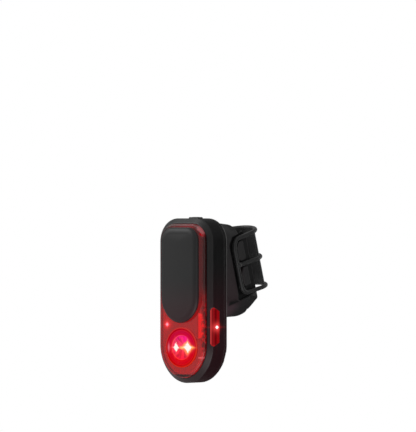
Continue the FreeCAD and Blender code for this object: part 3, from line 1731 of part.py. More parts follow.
def mounting_strap():
    """Rubber ladder: three rungs round the post, an end bar on each side, and a thin web."""
    top_arcs, top_touch, top_ends, _ = rung(1)
    mid_arcs, mid_touch, mid_ends, mid_forward = rung(0)
    low_arcs, low_touch, low_ends, _ = rung(-1)
    corner = number("bar_corner")
    edges = [*top_arcs.values(), *low_arcs.values()]
    for side in (1, -1):
        route = [top_touch[side], top_ends[side], low_ends[side], low_touch[side]]
        edges += corner_route(route, corner)
    radius = number("strap_loop_radius")
    start = FreeCAD.Vector(0, radius, number("strap_pitch"))
    frame = tube(edges, start, FreeCAD.Vector(1, 0, 0))
    rung_edges = [*mid_arcs.values()]
    for side in (1, -1):
        rung_edges.append(Part.LineSegment(mid_touch[side], mid_ends[side]).toShape())
    middle = tube(rung_edges, mid_ends[1], mid_forward)
    pitch = number("strap_pitch")
    height = 2 * pitch + number("strap_drop")
    inner = number("web_inner_radius")
    angle = number("web_half_angle")
    base = FreeCAD.Vector(0, 0, pitch - height)
    up = FreeCAD.Vector(0, 0, 1)
    outer_sector = Part.makeCylinder(inner + number("web_thickness"), height, base, up, 2 * angle)
    inner_sector = Part.makeCylinder(inner, height, base, up, 360)
    web = outer_sector.cut(inner_sector)
    web.rotate(FreeCAD.Vector(), up, 90 - angle)
    item = doc.addObject("Part::Feature", "mounting_strap")
    item.Shape = frame.fuse([middle, web]).removeSplitter()
    piece(lean(item), "mounting_strap")


front_housing()
front_lens()
radar_cover()
main_optic()
reflector_plate()
side_windows()
inner_frame()
radar_boards()
main_boards()
side_lamps()
rear_cover()
housing_seal()
housing_screws()
battery()
power_switch()
charging_port()
twist_boss()
twist_socket()
mount_body()
post_pad()
mounting_strap()
doc.recompute()

faults = [item.Name for item in doc.Objects if {"Invalid", "Error"} & set(item.State)]
faults += [
    item.Label for item in pieces if item.Shape.isNull() or not item.Shape.isValid()
]
if faults:
    raise RuntimeError("failed objects: " + ", ".join(faults))

os.makedirs("parts", exist_ok=True)
for item in pieces:
    solids = item.Shape.Solids
    shape = solids[0] if len(solids) == 1 else Part.Compound(solids)
    shape.exportStep(f"parts/{item.Label}.step")
    print(f"{item.Label}: {len(solids)} solid(s), {item.Shape.Volume:.1f} mm3")
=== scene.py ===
import math

import bmesh
import bpy
import numpy as np
from bpy.props import FloatProperty, FloatVectorProperty, IntProperty, PointerProperty
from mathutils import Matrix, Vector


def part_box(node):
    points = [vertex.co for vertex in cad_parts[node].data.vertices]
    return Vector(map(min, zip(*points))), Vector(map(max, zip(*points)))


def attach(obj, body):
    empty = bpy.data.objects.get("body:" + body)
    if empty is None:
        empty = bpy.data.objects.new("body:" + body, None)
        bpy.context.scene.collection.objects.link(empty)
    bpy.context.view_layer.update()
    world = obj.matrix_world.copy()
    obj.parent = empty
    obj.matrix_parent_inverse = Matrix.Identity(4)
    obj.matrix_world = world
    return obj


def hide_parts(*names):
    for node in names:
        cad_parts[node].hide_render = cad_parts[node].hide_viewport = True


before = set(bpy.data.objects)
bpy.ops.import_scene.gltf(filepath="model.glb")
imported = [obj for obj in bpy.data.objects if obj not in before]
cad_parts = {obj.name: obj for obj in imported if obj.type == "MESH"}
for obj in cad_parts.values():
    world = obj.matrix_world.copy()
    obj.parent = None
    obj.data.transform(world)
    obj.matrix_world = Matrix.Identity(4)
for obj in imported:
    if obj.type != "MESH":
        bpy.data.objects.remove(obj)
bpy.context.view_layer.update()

bl_info = {
    "name": "Tail light with seat post mount",
    "version": (1, 0, 0),
    "blender": (4, 5, 0),
    "location": "3D View > Sidebar > Tail light",
    "description": "Builds the surfaces and finishes of a bicycle tail light round its CAD frame",
    "category": "Object",
}

MM = 0.001
MERGE = 0.002 * MM
FLOAT, COLOUR, VECTOR = "NodeSocketFloat", "NodeSocketColor", "NodeSocketVector"


def length(name, description, millimetres):
    return FloatProperty(
        name=name, description=description, default=millimetres * MM, unit="LENGTH", precision=5
    )


def turning(name, description, degrees):
    return FloatProperty(
        name=name, description=description, default=math.radians(degrees), subtype="ANGLE"
    )


def tint(name, description, colour):
    return FloatVectorProperty(
        name=name, description=description, default=colour, subtype="COLOR", size=3,
        min=0.0, max=1.0,
    )


def power(name, description, watts):
    return FloatProperty(name=name, description=description, default=watts, subtype="POWER")


class LightSizes(bpy.types.PropertyGroup):
    """Sizes of the light's front pieces. Places are measured from the frame's origin."""

    face: length("Lens face", "Y of the lens face", -57.0)
    depth: length("Light depth", "From the lens face to the back face", 20.0)
    cover_half_width: length("Cover half width", "Half width of the radar cover", 15.2)
    cover_top: length("Cover top", "Top of the radar cover", 22.2)
    cover_corner: length("Cover corner", "Radius of the cover's top corners", 9.0)
    cover_side_end: length("Cover sides", "Where its straight sides end, below the origin", 23.0)
    cover_tip_radius: length("Cover bottom", "Radius of the cover's bottom", 13.5)
    cover_tip_centre: length("Cover bottom centre", "Its centre, below the origin", 25.9)
    cover_height: length("Cover height", "How far the cover stands in front of the lens", 4.5)
    cover_rim: length("Cover rim", "Width of the cover's rounded rim", 4.4)
    cover_crown: length("Cover crown", "Rise of the cover's middle over its rim", 0.35)
    cover_neck: length("Cover neck", "Distance from the cover's edge to its neck", 1.7)
    cover_wall: length("Cover wall", "Wall of the cover", 1.6)
    cover_neck_depth: length("Neck depth", "Depth of the cover's neck", 3.0)
    optic_height: length("Optic height", "Z of the optic's middle", -55.2)
    optic_radius: length("Optic radius", "Radius of the optic's front ring", 12.8)
    optic_depth: length("Optic depth", "Depth of the optic", 6.4)
    optic_rise: length("Optic rise", "How far its flange stands in front of the lens", 0.8)


class StrapSizes(bpy.types.PropertyGroup):
    """Sizes of the mount's rubber pieces, drawn in a frame that leans with the post."""

    lean: turning("Lean", "Lean of the seat post", 17)
    section: length("Section", "Radius of a rung", 1.4)
    bar_section: length("Bar section", "Radius of an end bar", 1.55)
    loop: length("Loop", "Radius of a rung's loop round the post", 15.1)
    pitch: length("Pitch", "Distance between rungs behind the post", 18.5)
    drop: length("Drop", "How far the lowest rung lies below its pitch there", 1.0)
    bar_pitch: length("Bar pitch", "Distance between rungs at the end bars", 17.2)
    bar_drop: length("Bar drop", "How far the lowest rung lies below its pitch there", 2.0)
    bar_rise: length("Bar rise", "Height of the middle rung at the end bars", 3.1)
    bar_place: length("Bar place", "Distance from the middle to an end bar", 15.9)
    bar_front: length("Bar front", "Distance from the post's axis to an end bar", 19.75)
    corner: length("Corner", "Radius of the strap's outer corners", 6.5)
    web: length("Web", "Inner radius of the strap's web", 13.8)
    web_thickness: length("Web thickness", "Thickness of the strap's web", 0.75)
    web_angle: turning("Web angle", "Half angle of the web", 67)
    voxel: length("Skin detail", "Size of the cells that melt the strap into one skin", 0.3)
    grip_rise: length("Grip rise", "Height of the pad's grip ribs", 0.22)
    grip_pitch: length("Grip pitch", "Distance between the pad's grip ribs", 2.0)


class Finishes(bpy.types.PropertyGroup):
    """Colours of the light's plastics, rubbers and lamps."""

    shell: tint("Shell", "Black plastic of housing and rear cover", (0.0035, 0.0034, 0.0036))
    cover: tint("Cover", "Matt black of the radar cover", (0.014, 0.014, 0.0143))
    mount: tint("Mount", "Black plastic of the mount", (0.0155, 0.015, 0.0155))
    rubber: tint("Rubber", "Rubber of strap, flap and button", (0.013, 0.013, 0.0133))
    # The pad's dark rubber is made darker still. This is partly painted shade: it stands in for the
    # shade between strap and mount.
    pad: tint("Pad", "Darker, smoother rubber of the post pad", (0.0025, 0.0025, 0.0026))
    lens: tint("Lens", "Red of the lens", (0.72, 0.012, 0.016))
    lamp: tint("Lamp", "Light of the lamps", (1.0, 0.86, 0.8))
    mask: tint("Solder mask", "Lacquer of the circuit boards", (0.012, 0.06, 0.032))


class StageSizes(bpy.types.PropertyGroup):
    """Floor, lamps and camera."""

    floor_height: length("Floor height", "Z of the floor", -160.0)
    floor_radius: length("Floor radius", "Radius of the floor", 4000.0)
    turn: turning("Turn", "Camera's angle round the light", 39.5)
    reach: length("Reach", "Distance from the camera to the light", 3108.8)
    lens: FloatProperty(name="Lens", description="Focal length, millimetres", default=400.0)
    key: power("Key", "Power of the key lamp", 2.5)
    fill: power("Fill", "Power of the fill lamp", 0.8)
    rings: IntProperty(
        name="Rings", description="Points round the floor's edge", default=96, min=12
    )


def arithmetic(operation, swapped=False):
    """Method that adds the maths node of an operation on the value and what it is combined with."""

    def work(self, *others):
        return maths(operation, *((*others, self) if swapped else (self, *others)))

    return work


class Value:
    """A node's output. Arithmetic on it adds the nodes that work it out."""

    def __init__(self, socket):
        self.socket = socket
        self.tree = socket.id_data

    __add__ = __radd__ = arithmetic("ADD")
    __mul__ = __rmul__ = arithmetic("MULTIPLY")
    __sub__, __rsub__ = arithmetic("SUBTRACT"), arithmetic("SUBTRACT", swapped=True)
    __truediv__, __pow__, __abs__ = map(arithmetic, ("DIVIDE", "POWER", "ABSOLUTE"))
    __gt__, __lt__ = map(arithmetic, ("GREATER_THAN", "LESS_THAN"))

    def ramp(self, start, end, low=0.0, high=1.0, kind="SMOOTHSTEP"):
        """Smooth step of the value from low at start to high at end."""
        given = {"Value": self, "From Min": start, "From Max": end, "To Min": low, "To Max": high}
        return add(self.tree, "MapRange", given, interpolation_type=kind)


class Inputs:
    """A node's inputs. Setting one by its title joins it to a value or gives it a constant."""

    def __init__(self, node):
        self.sockets = node.inputs
        self.tree = node.id_data

    def __setitem__(self, title, value):
        put(value, self.sockets[title])


def put(value, socket):
    """Joins a value to a socket, or sets the socket. A number is a grey in a colour's socket."""
    if isinstance(value, Value):
        socket.id_data.links.new(value.socket, socket)
    elif socket.type == "RGBA":
        socket.default_value = (*((value,) * 3 if isinstance(value, (int, float)) else value), 1.0)
    else:
        socket.default_value = value


def named(outputs):
    return {socket.name: Value(socket) for socket in outputs}


def add(tree, kind, given=(), out=0, **settings):
    """One output of a new node, with settings, and inputs given by title or in order."""
    node = tree.nodes.new("ShaderNode" + kind)
    for name, value in settings.items():
        setattr(node, name, value)
    for title, value in given.items() if isinstance(given, dict) else enumerate(given):
        put(value, node.inputs[title])
    return Value(node.outputs[out])


def tree_of(values):
    return next(value.tree for value in values if isinstance(value, Value))


def maths(operation, *values):
    return add(tree_of(values), "Math", values, operation=operation)


def vector(operation, *values):
    out = "Value" if operation == "DOT_PRODUCT" else "Vector"
    return add(values[0].tree, "VectorMath", values, out, operation=operation)


def scaled(value, factor):
    return add(value.tree, "VectorMath", {0: value, "Scale": factor}, operation="SCALE")


def mix(factor, first, second):
    """From the first colour to the second. Mix has its colours at inputs 6, 7 and output 2."""
    given = {0: factor, 6: first, 7: second}
    return add(tree_of(given.values()), "Mix", given, 2, data_type="RGBA")


def layered(colour, *layers):
    """A colour with others laid over it in turn, each given as its mask and itself."""
    for mask, over in layers:
        colour = mix(mask, colour, over)
    return colour


def colours(value, *stops):
    """Colour ramp with stops given as place, red, green and blue. The two ends come first."""
    found = add(value.tree, "ValToRGB", [value])
    band = found.socket.node.color_ramp
    for index, (part, *colour) in enumerate(stops):
        stop = band.elements[index] if index < 2 else band.elements.new(part)
        stop.position = part
        stop.color = (*colour, 1.0)
    return found


def place(tree):
    """The shaded point in the object's own coordinates, in metres."""
    return add(tree, "TexCoord", out="Object")


def parts(spot):
    """X, Y and Z of a place."""
    return [Value(part) for part in add(spot.tree, "SeparateXYZ", [spot]).socket.node.outputs]


def in_millimetres(spot):
    return parts(scaled(spot, 1 / MM))


def noise(spot, scale, detail=2.0):
    return add(spot.tree, "TexNoise", {"Vector": spot, "Scale": scale, "Detail": detail}, "Fac")


def bump(height, strength, depth, **normal):
    given = {"Height": height, "Strength": strength, "Distance": depth, **normal}
    return add(height.tree, "Bump", given)


def larger(first, second):
    return maths("MAXIMUM", first, second)


def distance(across, up):
    return maths("SQRT", across * across + up * up)


def fall(value, rate=1.0):
    return maths("EXPONENT", value * -rate)


def choose(where, yes, no):
    return where * yes + (1.0 - where) * no


def new_group(name, given, **found):
    """Shader node group: its tree, its inputs as values, and its outputs to be set.

    An input's kind follows its default: a number, a colour, or None for a vector.
    """
    tree = bpy.data.node_groups.new(name, "ShaderNodeTree")
    for title, default in given.items():
        kind = VECTOR if default is None else FLOAT if isinstance(default, float) else COLOUR
        socket = tree.interface.new_socket(title, in_out="INPUT", socket_type=kind)
        if default is not None:
            socket.default_value = default if kind == FLOAT else (*default, 1.0)
    for title, kind in found.items():
        tree.interface.new_socket(title, in_out="OUTPUT", socket_type=kind)
    start = tree.nodes.new("NodeGroupInput")
    return tree, named(start.outputs), Inputs(tree.nodes.new("NodeGroupOutput"))


def placed(tree, maker, **values):
    """Outputs of a shared group, built once, placed in a tree with its own values."""
    group = bpy.data.node_groups.get(maker.__name__) or maker()
    given = {title.replace("_", " "): value for title, value in values.items()}
    return named(add(tree, "Group", given, node_tree=group).socket.node.outputs)


def moulded_grain():
    """Fine moulded grain with a slow drift of colour and gloss.

    Fine noise becomes a bump. Slow noise, spread about one, multiplies colour and roughness.
    """
    tree, given, out = new_group(
        "moulded_grain",
        {"Colour": (0.02, 0.02, 0.02), "Roughness": 0.45, "Grain per metre": 5000.0, "Depth": 0.1,
         "Drift": 0.3, "Edge normal": None},
        Colour=COLOUR, Roughness=FLOAT, Normal=VECTOR,
    )
    spot = place(tree)
    factor = (noise(spot, 70.0, 3.0) - 0.5) * given["Drift"] + 1.0
    out["Colour"] = scaled(given["Colour"], factor)
    out["Roughness"] = given["Roughness"] * factor
    fine = noise(spot, given["Grain per metre"])
    out["Normal"] = bump(fine, given["Depth"], 0.05 * MM, Normal=given["Edge normal"])
    return tree


def edge_distance():
    """Distance inwards from the light's outline, in millimetres.

    Down to the end of the straight sides it is the least distance to the side, top and corner.
    Below, it is measured from the long arc, and past that arc's end from the bottom's circle.
    """
    tree, given, out = new_group("edge_distance", {"X": 0.0, "Z": 0.0}, Distance=FLOAT)
    across, z = abs(given["X"]), given["Z"]
    wide, top, corner, side_end = 22.2, 28.0, 15.0, -53.3
    tip, tip_z, belly, turn = 19.5, -58.7, 26.25, math.radians(53.1)
    corner_x, corner_z = larger(across - (wide - corner), 0.0), larger(z - (top - corner), 0.0)
    belly_x, belly_z = across + (belly - wide), z - side_end
    in_tip = belly_z * -math.cos(turn) - belly_x * math.sin(turn) > 0.0
    lower = choose(in_tip, tip - distance(across, z - tip_z), belly - distance(belly_x, belly_z))
    out["Distance"] = choose(belly_z < 0.0, lower, corner - distance(corner_x, corner_z))
    return tree


def star_glow():
    """Painted glare of a lamp: a bright spot with four thin arms.

    The spot is a bell of the distance, and each arm a product of two falling exponentials.
    """
    tree, given, out = new_group(
        "star_glow", {"Across": 0.0, "Up": 0.0, "Size": 1.0, "Arms": 1.0}, Core=FLOAT, Halo=FLOAT
    )
    across, up = (abs(given[title] / given["Size"]) for title in ("Across", "Up"))
    along, thin, wide = 0.7, 6.0, 0.12
    square = across * across + up * up
    arms = fall(across, along) * fall(up, thin) + fall(across, thin) * fall(up, along)
    arms = arms * given["Arms"]
    out["Core"] = fall(square) + arms
    out["Halo"] = fall(square, wide) + arms
    return tree


def star(across, up, size, arms=0.0):
    return placed(across.tree, star_glow, Across=across, Up=up, Size=size, Arms=arms)


def board_tracks():
    """Copper tracks under lacquer: two crossed square waves, broken up by coarse noise."""
    tree, given, out = new_group(
        "board_tracks", {"Lacquer": (0.02, 0.1, 0.05), "Track": (0.05, 0.2, 0.1)},
        Colour=COLOUR, Metal=FLOAT, Height=FLOAT,
    )
    spot = place(tree)
    x, _, z = in_millimetres(spot)
    pitch = 0.9
    stripes = [maths("SINE", value * (2 * math.pi / pitch)) > 0.55 for value in (x, z)]
    tracks = choose(noise(spot, 260.0, 0.0) > 0.5, *stripes)
    dots = add(tree, "TexVoronoi", {"Vector": spot, "Scale": 420.0}, "Distance", feature="F1")
    pads = dots < 0.16
    out["Colour"] = mix(tracks, given["Lacquer"], given["Track"])
    out["Metal"] = pads
    out["Height"] = larger(tracks, pads)
    return tree


def studio_walls():
    """Brightness of the studio that reflections find in a direction.

    It rises with the direction's slope up or down and falls towards a dark wall behind the light.
    Soft boxes, each a smooth step of the angle from its own direction, are added.
    """
    tree, given, out = new_group("studio_walls", {"Direction": None}, Strength=FLOAT)
    way = vector("NORMALIZE", given["Direction"])
    level, steep, dark = 0.32, 0.6, 0.03
    slope = abs(parts(way)[2]).ramp(0.15, 0.8, level, steep)
    total = vector("DOT_PRODUCT", way, (0.35, 0.90, -0.25)).ramp(0.15, 0.5, slope, dark)
    # Soft boxes: direction, where one starts and where it is full, and strength.
    for box, start, end, strength in (
        ((-0.64, -0.57, 0.52), 0.87, 0.98, 2.0),
        ((-0.66, -0.75, 0.0), 0.75, 0.97, 0.25),
        ((0.67, -0.41, -0.62), 0.84, 0.98, 1.5),
        ((0.0, 1.0, 0.1), 0.86, 0.98, 0.7),
    ):
        total = total + vector("DOT_PRODUCT", way, box).ramp(start, end, 0.0, strength)
    out["Strength"] = total
    return tree


def emptied(data):
    """Node tree of a new material or world, with no nodes."""
    data.use_nodes = True
    data.node_tree.nodes.clear()
    return data.node_tree


def shown(tree, kind, shader):
    put(shader, tree.nodes.new("ShaderNodeOutput" + kind).inputs["Surface"])


def new_material(name, **fixed):
    """Material with one Principled shader, whose constant sockets are set here, and its inputs."""
    material = bpy.data.materials.new(name)
    tree = emptied(material)
    given = {title.replace("_", " "): value for title, value in fixed.items()}
    shader = add(tree, "BsdfPrincipled", given)
    shown(tree, "Material", shader)
    return material, Inputs(shader.socket.node)


def moulded(name, colour, roughness, grain=5000.0, depth=0.1, drift=0.3, rounding=0.0, **fixed):
    """Moulded plastic or rubber. Its edges shade as if rounded by the given radius."""
    material, shader = new_material(name, **fixed)
    values = {"Roughness": roughness, "Grain_per_metre": grain, "Depth": depth, "Drift": drift}
    if rounding:
        values["Edge_normal"] = add(shader.tree, "Bevel", {"Radius": rounding}, samples=6)
    grained = placed(shader.tree, moulded_grain, Colour=colour, **values)
    shader["Base Color"] = grained["Colour"]
    shader["Roughness"] = grained["Roughness"]
    shader["Normal"] = grained["Normal"]
    return material, shader, grained


def rubber_finish(colour, name, roughness):
    """Soft rubber: matt, with a faint sheen and fine grain."""
    return moulded(
        name, colour, roughness, grain=4000.0, depth=0.2, drift=0.35,
        Specular_IOR_Level=0.4, Sheen_Weight=0.08, Sheen_Roughness=0.4,
    )[0]


def metal(name, scale, detail, dull, bright, smooth, rough, relief=()):
    """Metal whose colour and roughness follow one noise, with a bump of noise if it has relief."""
    material, shader = new_material(name, Metallic=1.0)
    spot = place(shader.tree)
    cloud = noise(spot, scale, detail)
    shader["Base Color"] = mix(cloud, dull, bright)
    shader["Roughness"] = cloud.ramp(0.2, 0.8, smooth, rough)
    if relief:
        fine, fine_detail, strength, depth = relief
        shader["Normal"] = bump(noise(spot, fine, fine_detail), strength, depth * MM)
    return material


def dress(material, *nodes):
    """Gives CAD nodes a material."""
    for node in nodes:
        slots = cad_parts[node].data.materials
        slots.clear()
        slots.append(material)


def outline(half_width, top, corner, side_end, tip_radius, tip_centre, steps):
    """Points and outward normals round an outline, as X and Z.

    The right half runs down from the middle of the flat top: a line, a corner arc, a line, a long
    arc that leans inwards, and the bottom's arc. The left half is its mirror image.
    """
    drop = tip_centre - side_end
    belly = (half_width**2 + drop**2 - tip_radius**2) / (2 * (half_width - tip_radius))
    turn = math.atan2(drop, belly - half_width)
    inner = half_width - corner

    def line(start, end, normal, count):
        along = np.linspace(0, 1, count, endpoint=False)[:, None]
        return np.array(start) * (1 - along) + np.array(end) * along, np.tile(normal, (count, 1))

    def arc(x, z, radius, start, end, count):
        angle = np.linspace(start, end, count, endpoint=False)
        normal = np.stack([np.cos(angle), np.sin(angle)], 1)
        return np.array([x, z]) + radius * normal, normal

    runs = [
        line((0.0, top), (inner, top), (0.0, 1.0), steps // 2),
        arc(inner, top - corner, corner, math.pi / 2, 0.0, steps),
        line((half_width, top - corner), (half_width, -side_end), (1.0, 0.0), 2 * steps),
        arc(half_width - belly, -side_end, belly, 0.0, -turn, steps // 2),
        arc(0.0, -tip_centre, tip_radius, -turn, -math.pi / 2, steps),
        (np.array([[0.0, -tip_centre - tip_radius]]), np.array([[0.0, -1.0]])),
    ]
    mirror = np.array([-1.0, 1.0])
    halves = (np.concatenate(half) for half in zip(*runs))
    return [np.concatenate([half, half[-2:0:-1] * mirror]) for half in halves]


def rounded_box(half_a, half_b, corner, steps=9):
    """Points and outward normals round a rectangle with rounded corners."""
    angle = np.linspace(0, math.pi / 2, steps)
    turns = angle[None] + (np.arange(4) * math.pi / 2)[:, None]
    normal = np.stack([np.cos(turns), np.sin(turns)], -1)
    middle = np.array([[1, 1], [-1, 1], [-1, -1], [1, -1]]) * [half_a - corner, half_b - corner]
    return (middle[:, None] + corner * normal).reshape(-1, 2), normal.reshape(-1, 2)


def rings(outlined, profile):
    """Rows of an outline moved inwards by the profile's first column and up by its second."""
    points, normals = outlined
    profile = np.asarray(profile)
    flat = points[None] - profile[:, 0, None, None] * normals[None]
    height = np.broadcast_to(profile[:, 1, None, None], flat.shape[:2] + (1,))
    return np.concatenate([flat, height], -1)


def rounded(inset, start, rise, steps, power=1.0):
    """Profile of a rounded edge: a quarter of an ellipse, or of a superellipse by the power."""
    angle = np.linspace(0, math.pi / 2, steps)
    inwards, up = 1 - np.cos(angle) ** power, np.sin(angle) ** power
    return np.stack([inset * inwards, start + rise * up], 1)


def drawn_in(row, low, high, steps, rise=0.0, across=0):
    """Rows that carry a row's points evenly to the line from low to high, along one direction.

    The rise follows one minus the square of what is left of the way.
    """
    line = row.copy()
    line[:, across] = 0.0
    line[:, 1 - across] = np.clip(row[:, 1 - across], low, high)
    part = np.linspace(0, 1, steps + 1)[1:, None, None]
    rows = row * (1 - part) + line * part
    rows[..., 2] += rise * (1 - (1 - part[..., 0]) ** 2)
    return rows


def lidded(rows):
    """Rows of a flat loop, closed at both ends by rows whose second half folds onto the first."""
    lids, half = rows[[0, -1]], rows.shape[1] // 2
    lids[:, half:] = lids[:, :half][:, ::-1]
    return np.concatenate([lids[:1], rows, lids[1:]])


def turned(profile, points, ripple=None):
    """Rows of circles: a profile of radius and height turned about its axis."""
    profile = np.asarray(profile)
    angle = np.linspace(0, 2 * math.pi, points, endpoint=False)
    radius = profile[:, 0, None] * np.ones(points)
    height = profile[:, 1, None] * np.ones(points)
    if ripple is not None:
        height = height + ripple(radius, angle[None])
    return np.stack([radius * np.cos(angle), radius * np.sin(angle), height], -1)


def facing_back(grid, x=0.0, y=0.0, z=0.0):
    """Grid whose height becomes +Y."""
    return np.stack([grid[..., 0] + x, grid[..., 2] + y, grid[..., 1] + z], -1)


def leaning(points):
    """Points of the post's frame, turned about X by the post's lean."""
    lean = bpy.context.scene.tail_light_strap.lean
    cos, sin = math.cos(lean), math.sin(lean)
    x, y, z = np.moveaxis(points, -1, 0)
    return np.stack([x, cos * y - sin * z, sin * y + cos * z], -1)


def grid_mesh(name, grid, loop=False):
    """Mesh of a grid of points: quads between neighbouring rows, joined round each row.

    The last row joins the first when loop is set.
    """
    rows, columns = grid.shape[:2]
    number = np.arange(rows * columns).reshape(rows, columns)
    number = np.concatenate([number, number[:, :1]], 1)
    if loop:
        number = np.concatenate([number, number[:1]])
    quads = np.stack([number[:-1, :-1], number[:-1, 1:], number[1:, 1:], number[1:, :-1]], -1)
    mesh = bpy.data.meshes.new(name)
    mesh.from_pydata(grid.reshape(-1, 3), (), quads.reshape(-1, 4))
    return mesh


def closed(meshes, merge=MERGE):
    """The first mesh with the others joined on, its doubles merged and its faces outward."""
    joined = bmesh.new()
    for mesh in meshes:
        joined.from_mesh(mesh)
    bmesh.ops.remove_doubles(joined, verts=joined.verts, dist=merge)
    bmesh.ops.recalc_face_normals(joined, faces=joined.faces)
    joined.to_mesh(meshes[0])
    joined.free()
    for mesh in meshes[1:]:
        bpy.data.meshes.remove(mesh)
    return meshes[0]


def skin(name, grids, body, material=None, replaces=(), loop=False, sharp=35.0):
    """Piece whose surface is made of grids of points, with its edges sharp from an angle on."""
    mesh = closed([grid_mesh(name, grid, loop) for grid in grids])
    mesh.shade_smooth()
    mesh.set_sharp_from_angle(angle=math.radians(sharp))
    piece = bpy.data.objects.new(name, mesh)
    bpy.context.scene.collection.objects.link(piece)
    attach(piece, body)
    if replaces:
        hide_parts(*replaces)
    if material:
        mesh.materials.append(material)
    return piece


class CoverOperator(bpy.types.Operator):
    """Radar cover: a low pillow with a wide rounded rim, a neck behind it and a hollow"""

    bl_idname = "tail_light.cover"
    bl_label = "Radar cover"

    def execute(self, context):
        sizes = context.scene.tail_light_sizes
        border = outline(
            sizes.cover_half_width, sizes.cover_top, sizes.cover_corner, sizes.cover_side_end,
            sizes.cover_tip_radius, sizes.cover_tip_centre, 24,
        )
        # The rim is a quarter of a superellipse, and the crown a parabola of the way to the middle.
        edge, shoulder = 1.4 * MM, sizes.cover_height - sizes.cover_crown
        front = rings(border, rounded(sizes.cover_rim, edge, shoulder - edge, 16, power=2 / 2.3))
        low, high = -sizes.cover_tip_centre, sizes.cover_top - 10 * MM
        crown = drawn_in(front[-1], low, high, 12, rise=sizes.cover_crown)
        neck, foot = sizes.cover_neck, -sizes.cover_neck_depth
        inside, ceiling = neck + sizes.cover_wall, sizes.cover_height - sizes.cover_wall
        profile = [
            (0.15 * MM, 1.0 * MM), (0.5 * MM, 0.75 * MM), (neck, 0.6 * MM), (neck, foot),
            (inside, foot), (inside, ceiling),
        ]
        back = rings(border, profile)
        grid = np.concatenate([crown[::-1], front[::-1], back, drawn_in(back[-1], low, high, 6)])
        grid[..., 2] *= -1
        finish = cover_finish(context.scene.tail_light_finishes)
        skin(
            "radar_cover_shell", [facing_back(grid, y=sizes.face)], "light", finish,
            replaces=("radar_cover",), sharp=50.0,
        )
        return {"FINISHED"}


def cover_finish(finishes):
    """Matt grained plastic, with a trace of painted red light from the lamps below."""
    material, shader, _ = moulded(
        "cover_plastic", finishes.cover, 0.42, grain=7000.0, drift=0.2,
        Specular_IOR_Level=0.3, Emission_Strength=1.0,
    )
    z = in_millimetres(place(shader.tree))[2]
    # Painted red light from the lamps, as emission that grows towards the bottom.
    shader["Emission Color"] = mix(z.ramp(-8.0, -36.0), 0.0, (0.013, 0.0, 0.0015))
    return material


class OpticOperator(bpy.types.Operator):
    """Round optic: a flange, a grooved cone with fine steps, a fluted bowl and its cup"""

    bl_idname = "tail_light.optic"
    bl_label = "Main optic"

    def execute(self, context):
        sizes = context.scene.tail_light_sizes
        radius, cup = sizes.optic_radius, sizes.optic_depth
        # The front is a line from the groove to the lip with a saw tooth added, and then a bowl
        # whose height is a parabola of the radius.
        cone_edge, bowl_edge = 11.1, 7.7
        cone, bowl = np.linspace(cone_edge, 8.3, 29), np.linspace(bowl_edge, 0.0, 18)
        steps = (cone * 2.6) % 1.0 * 0.09
        front = np.concatenate(
            [
                [(12.95, 0.78), (12.95, 0.25), (12.85, 0.07), (12.65, 0.0), (11.85, 0.0),
                 (11.7, 0.06), (11.6, 0.34), (11.35, 0.34)],
                np.stack([cone, 0.08 + (cone_edge - cone) * 0.12 + steps], 1),
                [(8.15, 0.24), (8.0, 0.24), (7.9, 0.55)],
                np.stack([bowl, 0.75 + 0.6 * (1 - (bowl / bowl_edge - 0.35) ** 2 / 0.43)], 1),
            ]
        ) * MM * [radius / (12.8 * MM), 1.0] - [0.0, sizes.optic_rise]
        seat, hollow, wall = 1.2 * MM, cup - 2.2 * MM, 3.2 * MM
        back = [
            (0.0, hollow), (wall, hollow), (wall, cup), (4.8 * MM, cup), (11.3 * MM, seat),
            (radius, seat), (radius, 0.0),
        ]

        def flutes(reach, angle):
            part = np.clip(reach / MM / bowl_edge, 0, 1)
            return 0.07 * MM * np.sin(18 * angle) * (part**2 * (1 - part) * 6.75)

        shape = turned(np.concatenate([front, back]), 144, flutes)
        skin(
            "main_optic_lens", [facing_back(shape, y=sizes.face, z=sizes.optic_height)], "light",
            optic_finish(sizes), replaces=("main_optic",), sharp=28.0,
        )
        return {"FINISHED"}


